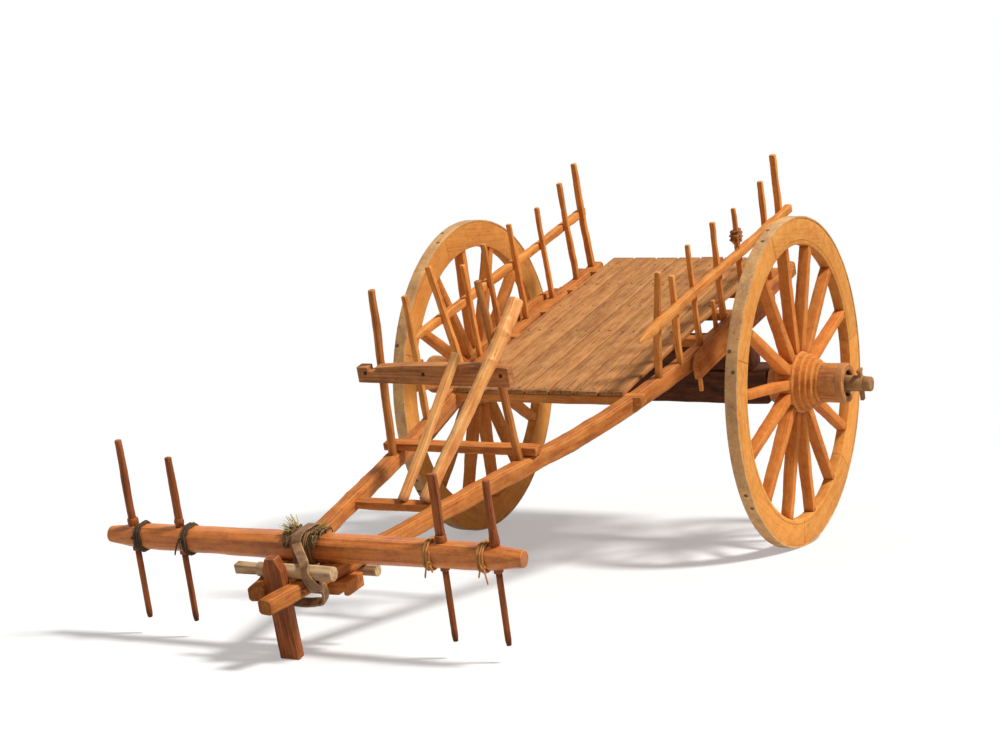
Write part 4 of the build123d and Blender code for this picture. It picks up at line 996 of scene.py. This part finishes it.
def neck_pin(name, x, above):
    """A pin through the yoke: its round lower part, square neck, knob and upper part."""
    seat = yoke_size(abs(x) - 0.02)[1] / 2 + 0.0003
    low = -yoke_size(x)[1] / 2 - 0.016
    pin = Piece()
    # The pin darkens at its bottom end and under the yoke: painted shade.
    pin.hew([yk(x, 0, z) for z in (-0.332, -0.320, low + 0.004)], [(d, d) for d in (0.018, 0.024, 0.024)],
            section=rounded(20), ease=0.002, step=0.02, wobble=0.0004, soiled=(0.07, 0.03))
    pin.hew([yk(x, 0, low), yk(x, 0, seat + 0.004)], (0.027, 0.027), ease=0.002, step=0.05, wobble=0.0003)
    lean = vary(0.005)
    knob, section, ease, step, wobble = KNOBS.get(name, PLAIN_KNOB)
    pin.hew([yk(x, 0, seat + z) for z, _ in knob], [(d, d) for _, d in knob], section=section, ease=ease,
            step=step, wobble=wobble)
    flat = name == "left_inner"
    foot, head = ((0.035, 0.020), (0.034, 0.019)) if flat else ((0.030, 0.030), (0.026, 0.026))
    # The upper part darkens where it leaves the yoke: painted shade.
    pin.hew([yk(x, 0, seat), yk(x + lean, 0, above * 0.6), yk(x + lean * 0.4, 0, above)], [foot, foot, head],
            section=squared if flat else faceted, ease=0.0025, step=0.02, wobble=0.0012, crook=0.003,
            soiled=(0.03, 0.0))
    pin.show(f"neck_pin_{name}", PIN_WOOD, f"yoke_pin_{name}", "polished_timber", "yoke")


for row in YOKE_PINS:
    neck_pin(*row)


# Ropes

WIND_STEPS = 40


def rope(piece, points, radius, sides=9, pitch=0.028, strands=3):
    """A laid rope along points: a tube whose section has turning strands."""
    points = [Vector(p) for p in points]
    run, tint, seed = 0.0, rng.random(), random_place()
    rings = []
    side = (points[1] - points[0]).orthogonal().normalized()
    for i, point in enumerate(points):
        before, after = points[max(0, i - 1)], points[min(len(points) - 1, i + 1)]
        direction = (after - before).normalized()
        side = square_to(direction, side)
        other = direction.cross(side)
        if i:
            run += (point - points[i - 1]).length
        end = 0.55 if i in (0, len(points) - 1) else 1.0
        places, grains, strand_gap_shade = [], [], []
        for k in range(sides):
            angle = 2 * pi * k / sides
            ridge = abs(cos(strands / 2 * (angle - 2 * pi * run / pitch)))
            far = radius * (0.80 + 0.24 * ridge) * end
            places.append(point + side * cos(angle) * far + other * sin(angle) * far)
            grains.append(seed + Vector((run, cos(angle) * radius, sin(angle) * radius)))
            # The grooves between the strands are marked for painted shade.
            strand_gap_shade.append(max(0.0, 1 - ridge * 1.7))
        rings.append(piece.ring(places, grains, strand_gap_shade, tint))
    piece.skin(rings, False)


def wind(piece, frame_of, reach, start, pitch, turns, radius, first=0.0, lift=0.0, jitter=0.001, sides=9,
         lay=0.028):
    """Winds a rope round a section from a first angle; reach is the section's at a place and an angle."""
    points, shift = [], rng.uniform(0, 50)
    for k in range(int(turns * WIND_STEPS) + 1):
        angle = first + 2 * pi * k / WIND_STEPS
        place = start + pitch * k / WIND_STEPS + jitter * noise.noise(Vector((k * 0.09, shift, 0)))
        far = reach(place, angle) + lift + radius + abs(jitter * noise.noise(Vector((k * 0.07, 0, shift))))
        points.append(frame_of(place, cos(angle) * far, sin(angle) * far))
    rope(piece, points, radius, sides, lay)


def octagon_reach(deep, high, angle):
    """How far the yoke's eight-sided section reaches at one angle about its middle."""
    c, s = abs(cos(angle)), abs(sin(angle))
    cut = FACET * min(deep, high)
    return min(deep / 2 / max(c, 1e-6), high / 2 / max(s, 1e-6), (deep / 2 + high / 2 - cut) / (c + s))


def on_yoke(place, angle):
    return octagon_reach(*yoke_size(place), angle) + 0.0004


binding = Piece()
wind(binding, yk, on_yoke, -0.041, 0.0117, 7, 0.0056)
wind(binding, yk, on_yoke, -0.034, 0.022, 3.2, 0.0030, 0.8, 0.0085)
binding.show("yoke_rope", WRAP, "yoke_binding", "rope", "yoke")


def beside_strap(side, path):
    """Points of the yoke's frame, moved out where the strap would meet them while the yoke swivels."""
    return [yk(side * max(x, 0.030 + 0.364 * abs(y)), y, z) for x, y, z in path]


def grass_blade(side, tuft):
    """A dry blade that stands up out of the binding and droops outwards."""
    x, angle = rng.uniform(0.041, 0.057), radians(rng.gauss(92, 26))
    far = octagon_reach(*yoke_size(x), angle) - 0.002
    blade = [Vector((x, cos(angle) * far, sin(angle) * far))]
    heading = Vector((rng.uniform(-0.05, 0.9), 0.8 * cos(angle) + vary(0.5), 1.0)).normalized()
    length = rng.uniform(0.012, 0.021) * (1.2 if side < 0 else 1.0)
    for _ in range(3):
        blade.append(blade[-1] + heading * length)
        heading = (heading + Vector((0.16, vary(0.4), rng.uniform(-0.45, 0.05)))).normalized()
    rope(tuft, beside_strap(side, blade), rng.uniform(0.0010, 0.0022), sides=5, strands=1)


def matted_strand(side, tangle):
    """A strand that wanders to and fro over the top of the binding."""
    x, angle, lift = rng.uniform(0.032, 0.062), radians(rng.gauss(98, 24)), 0.002
    turn, drift, strand = rng.choice((-1, 1)) * rng.uniform(0.10, 0.26), rng.uniform(-0.004, 0.006), []
    for k in range(9):
        far = octagon_reach(*yoke_size(x), angle) + lift
        strand.append((x, cos(angle) * far, sin(angle) * far))
        x, angle = min(0.082, max(0.03, x + drift)), angle + turn
        if not radians(42) < angle < radians(172):
            turn, angle = -turn, angle - 2 * turn
        turn, drift = turn + vary(0.12), drift + vary(0.004)
        lift = 0.003 + 0.021 * sin(pi * (k + 1) / 9) * rng.uniform(0.45, 1.0)
    rope(tangle, beside_strap(side, strand), rng.uniform(0.0022, 0.0040), sides=7, strands=2, pitch=0.02)


tuft, tangle = Piece(), Piece()
for side in (-1, 1):
    for _ in range(26):
        grass_blade(side, tuft)
    for _ in range(24):
        matted_strand(side, tangle)
tuft.show("yoke_tuft", GRASS, None, "rope", "yoke")
tangle.show("yoke_tangle", MATTED_ROPE, None, "rope", "yoke")


def knot(piece, centre, radius, tails):
    """A small knot with short ends that hang."""
    for _ in range(3):
        first = Vector((vary(1), vary(0.5), vary(1))).normalized()
        second = first.orthogonal().normalized()
        loop = [centre + (first * cos(a) + second * sin(a)) * radius * 1.7
                for a in [2 * pi * i / 14 for i in range(15)]]
        rope(piece, loop, radius, 8, 0.018)
    for sway, length in tails:
        points, heading = [centre], Vector((sway, -0.35, -0.5)).normalized()
        while (points[-1] - points[0]).length < length:
            points.append(points[-1] + heading * 0.006)
            heading = (heading + Vector((vary(0.14), rng.uniform(-0.08, 0.12), -0.35))).normalized()
        rope(piece, points, radius * 0.85, 8, 0.018)


ties = {"near": Piece(), "far": Piece()}
for _, x, _ in YOKE_PINS:
    way, group = (1, ties["near"]) if x > 0 else (-1, ties["far"])
    begin = x - way * 0.0285
    for shift, pitch, turns, radius, lift in ((0, 0.0078, 3.4, 0.0040, 0),
                                              (0.004, 0.012, 1.6, 0.0032, 0.0050)):
        wind(group, yk, on_yoke, begin - way * shift, -way * pitch, turns, radius, rng.uniform(0, 3), lift,
             sides=8, lay=0.02)
# Each knot's group, place along the yoke, height and size, with its tails' sways and lengths
for key, x, z, radius, tails in (("near", 0.745, -0.018, 0.0042, ((0.5, 0.062), (-0.4, 0.038))),
                                 ("near", 0.531, -0.018, 0.0042, ((-0.5, 0.05), (0.6, 0.030))),
                                 ("far", -0.745, 0.012, 0.0040, ((0.4, 0.045),)),
                                 ("far", -0.531, 0.012, 0.0040, ((-0.6, 0.055), (0.3, 0.030)))):
    knot(ties[key], yk(x, -yoke_size(x)[0] / 2 - 0.009, z), radius, tails)
ties["near"].show("near_ties", ROPE, "pin_lashings", "rope", "yoke")
ties["far"].show("far_ties", DARK_ROPE, None, "rope", "yoke")


# Rawhide: the loop over the yoke, the band round the beams and the thong

STRAP = 0.006
LOOP_Y, STRAP_DIP = -2.72, 0.0493


def hold(x, y, z):
    """A point of the frame that lies on the beams' tops under the yoke."""
    return yk(x, y, z - STRAP_DIP)


# The loop clears the yoke's corner, 45 by 59 mm from its middle, while the yoke swivels by 20 degrees.
clear = hypot(0.045, 0.059) * cos(max(0.0, atan2(0.045, 0.059) - radians(20))) + 0.005
under = -beam_line(LOOP_Y)[2] - 0.052 - 0.0009
arc = [(clear - 0.024, 0.1153), (clear, 0.0913), (clear, under + 0.052), (0.0559, under)]
loop = [hold(0, way * (y + STRAP / 2), z + STRAP / 2) for way in (1, -1) for y, z in arc[::way]]
Piece().hew(bent(loop, 0.022, closed=True), (0.040, STRAP), ease=0.002, step=0.012, wobble=0.0007,
            closed=True).show("hide_loop", RAWHIDE, "hold_strap", "rawhide", sharp=40)

front = PEG_Y + 0.0278
middle, half = front + 0.017, beam_line(front + 0.034)[0] + 0.0325 + 0.0033
deep = beam_line(front)[2] / 2 + 0.0033
beam_z, beam_deep = beam_line(middle)[1:]
pole_up = Vector((0, 0.07227, 0.99739))
loop = [lv(x, middle + pole_up.y * z, beam_z + pole_up.z * z)
        for x, z in ((half, deep), (-half, deep), (-half, -deep), (half, -deep))]
Piece().hew(bent(loop, STRAP, closed=True), (0.034, STRAP), side=ALONG, ease=0.002, step=0.012, wobble=0.0006,
            closed=True).show("hide_band", RAWHIDE, "pole_strap", "rawhide", sharp=40)

THONG = 0.0135
reach = 0.0278 + THONG / 2
outside, thong_y = half + 0.0037 + THONG / 2, PEG_Y - reach
low_z = beam_z - beam_deep / 2 - 0.0055 - THONG / 2 - 0.012
# From the loop's front over the peg, down beside the left beam and slack under both beams: each
# point with the way that the thong's width faces there
ROUTE = [(hold(0.012, -clear - 0.0118, 0.095), ACROSS), (hold(0.016, -clear - 0.020, 0.088), ACROSS),
         (lv(outside - 0.026, PEG_Y - reach * 0.42, PEG_Z + reach * 1.03), ACROSS),
         (lv(outside - 0.020, thong_y + 0.006, PEG_Z + reach * 0.62), ACROSS),
         (lv(outside - 0.014, thong_y, PEG_Z + 0.004), ACROSS),
         (lv(outside - 0.002, thong_y + 0.003, PEG_Z - 0.030), ACROSS * 0.8 + ALONG * 0.6),
         (lv(outside + 0.0005, thong_y + 0.020, PEG_Z - 0.055), ACROSS * 0.4 + ALONG),
         (lv(outside - 0.002, middle - 0.012, beam_z - 0.012), ALONG),
         (lv(outside - 0.006, middle - 0.002, low_z - 0.004), ALONG),
         (lv(outside - 0.030, middle + 0.004, low_z - 0.025), ALONG * 0.8 + UPWARDS * 0.6),
         (lv(0.0, middle + 0.006, low_z - 0.035), ALONG * 0.5 + UPWARDS * 0.87),
         (lv(0.03 - outside, middle + 0.004, low_z - 0.025), ALONG * 0.8 + UPWARDS * 0.6),
         (lv(0.006 - outside, middle, low_z - 0.004), ALONG), (lv(-outside, middle, beam_z), ALONG)]
route, facing = zip(*ROUTE)
span, turns = [], []
for k in range(len(route) - 1):
    before, a, b, after = route[max(0, k - 1)], route[k], route[k + 1], route[min(len(route) - 1, k + 2)]
    for t in (0.0, 0.34, 0.67):
        span.append(0.5 * ((2 * a) + (b - before) * t + (2 * before - 5 * a + 4 * b - after) * t * t
                           + (3 * a - before - 3 * b + after) * t ** 3))
        turns.append(facing[k].lerp(facing[k + 1], t))
Piece().hew(span + [route[-1]], (0.038, THONG), side=turns + [facing[-1]], ease=0.005, step=0.009,
            wobble=0.0014).show("hide_thong", RAWHIDE, None, "rawhide", sharp=40)


# Rope coil on one of the left stakes

def on_stake(place, u, v):
    return stake_line(1, 0.230, place) + ACROSS * u + ALONG * v


def stake_reach(place, angle):
    """How far the stake's square section reaches at one angle."""
    return min(0.0145 / max(abs(cos(angle)), 1e-6), 0.0135 / max(abs(sin(angle)), 1e-6)) * 0.93


coil = Piece()
wind(coil, on_stake, stake_reach, 1.306, 0.0105, 5.3, 0.0048, jitter=0.0026, sides=8, lay=0.024)
wind(coil, on_stake, stake_reach, 1.312, 0.017, 2.3, 0.0042, 1.2, 0.007, jitter=0.004, sides=8, lay=0.024)
knot(coil, on_stake(1.336, 0.012, -0.026), 0.0045, ((0.6, 0.055), (-0.5, 0.035)))
coil.show("stake_coil", BROWN_ROPE, "stake_rope", "rope")


# Floor, lamps and world

floor_mesh = bpy.data.meshes.new("floor")
floor_mesh.from_pydata([(-20, -20, 0), (20, -20, 0), (20, 20, 0), (-20, 20, 0)], [], [(0, 1, 2, 3)])
floor = bpy.data.objects.new("floor", floor_mesh)
scene.collection.objects.link(floor)
ground, tree, shader = new_material("studio_floor", roughness=0.9, specular=0.1)
shader.inputs["Base Color"].default_value = (0.86, 0.85, 0.83, 1)
position = add(tree, "NewGeometry").outputs["Position"]
spread = add(tree, "VectorMath", {0: position}, operation="LENGTH").outputs["Value"]
fade = ramp(tree, maths(tree, "DIVIDE", spread, 12.0), [(0.0, 0.30), (0.22, 0.34), (0.50, 1.0)])
clearing = add(tree, "BsdfTransparent")
joined = add(tree, "MixShader", {0: fade, 1: shader.outputs[0], 2: clearing.outputs[0]})
tree.links.new(joined.outputs[0], tree.nodes["Material Output"].inputs["Surface"])
floor_mesh.materials.append(ground)


def lamp(name, kind, place, aim, watts, **settings):
    data = bpy.data.lights.new(name, kind)
    data.energy = watts
    for key, value in settings.items():
        setattr(data, key, value)
    made = bpy.data.objects.new(name, data)
    made.location = place
    made.rotation_euler = (Vector(aim) - Vector(place)).to_track_quat("-Z", "Y").to_euler()
    scene.collection.objects.link(made)


def studio_world(dim):
    """White where it is seen, and dim as a light."""
    world = bpy.data.worlds.new("studio")
    world.use_nodes = True
    scene.world = world
    tree = world.node_tree
    rays = add(tree, "LightPath").outputs
    seen = maths(tree, "MAXIMUM", rays["Is Camera Ray"],
                 maths(tree, "MAXIMUM", rays["Is Glossy Ray"], rays["Is Transmission Ray"]))
    backdrop = tree.nodes["Background"].inputs
    backdrop["Color"].default_value = (1, 1, 1, 1)
    tree.links.new(weighted(tree, dim, (seen, 1 - dim)), backdrop["Strength"])


lamp("key", "SUN", (5.4, 0.6, 7.8), (0, 0, 0), 3.8, angle=radians(11))
lamp("fill", "AREA", (1.5, -9.0, 6.0), (0, 0, 0.8), 74, shape="SQUARE", size=5.0)
studio_world(0.23)
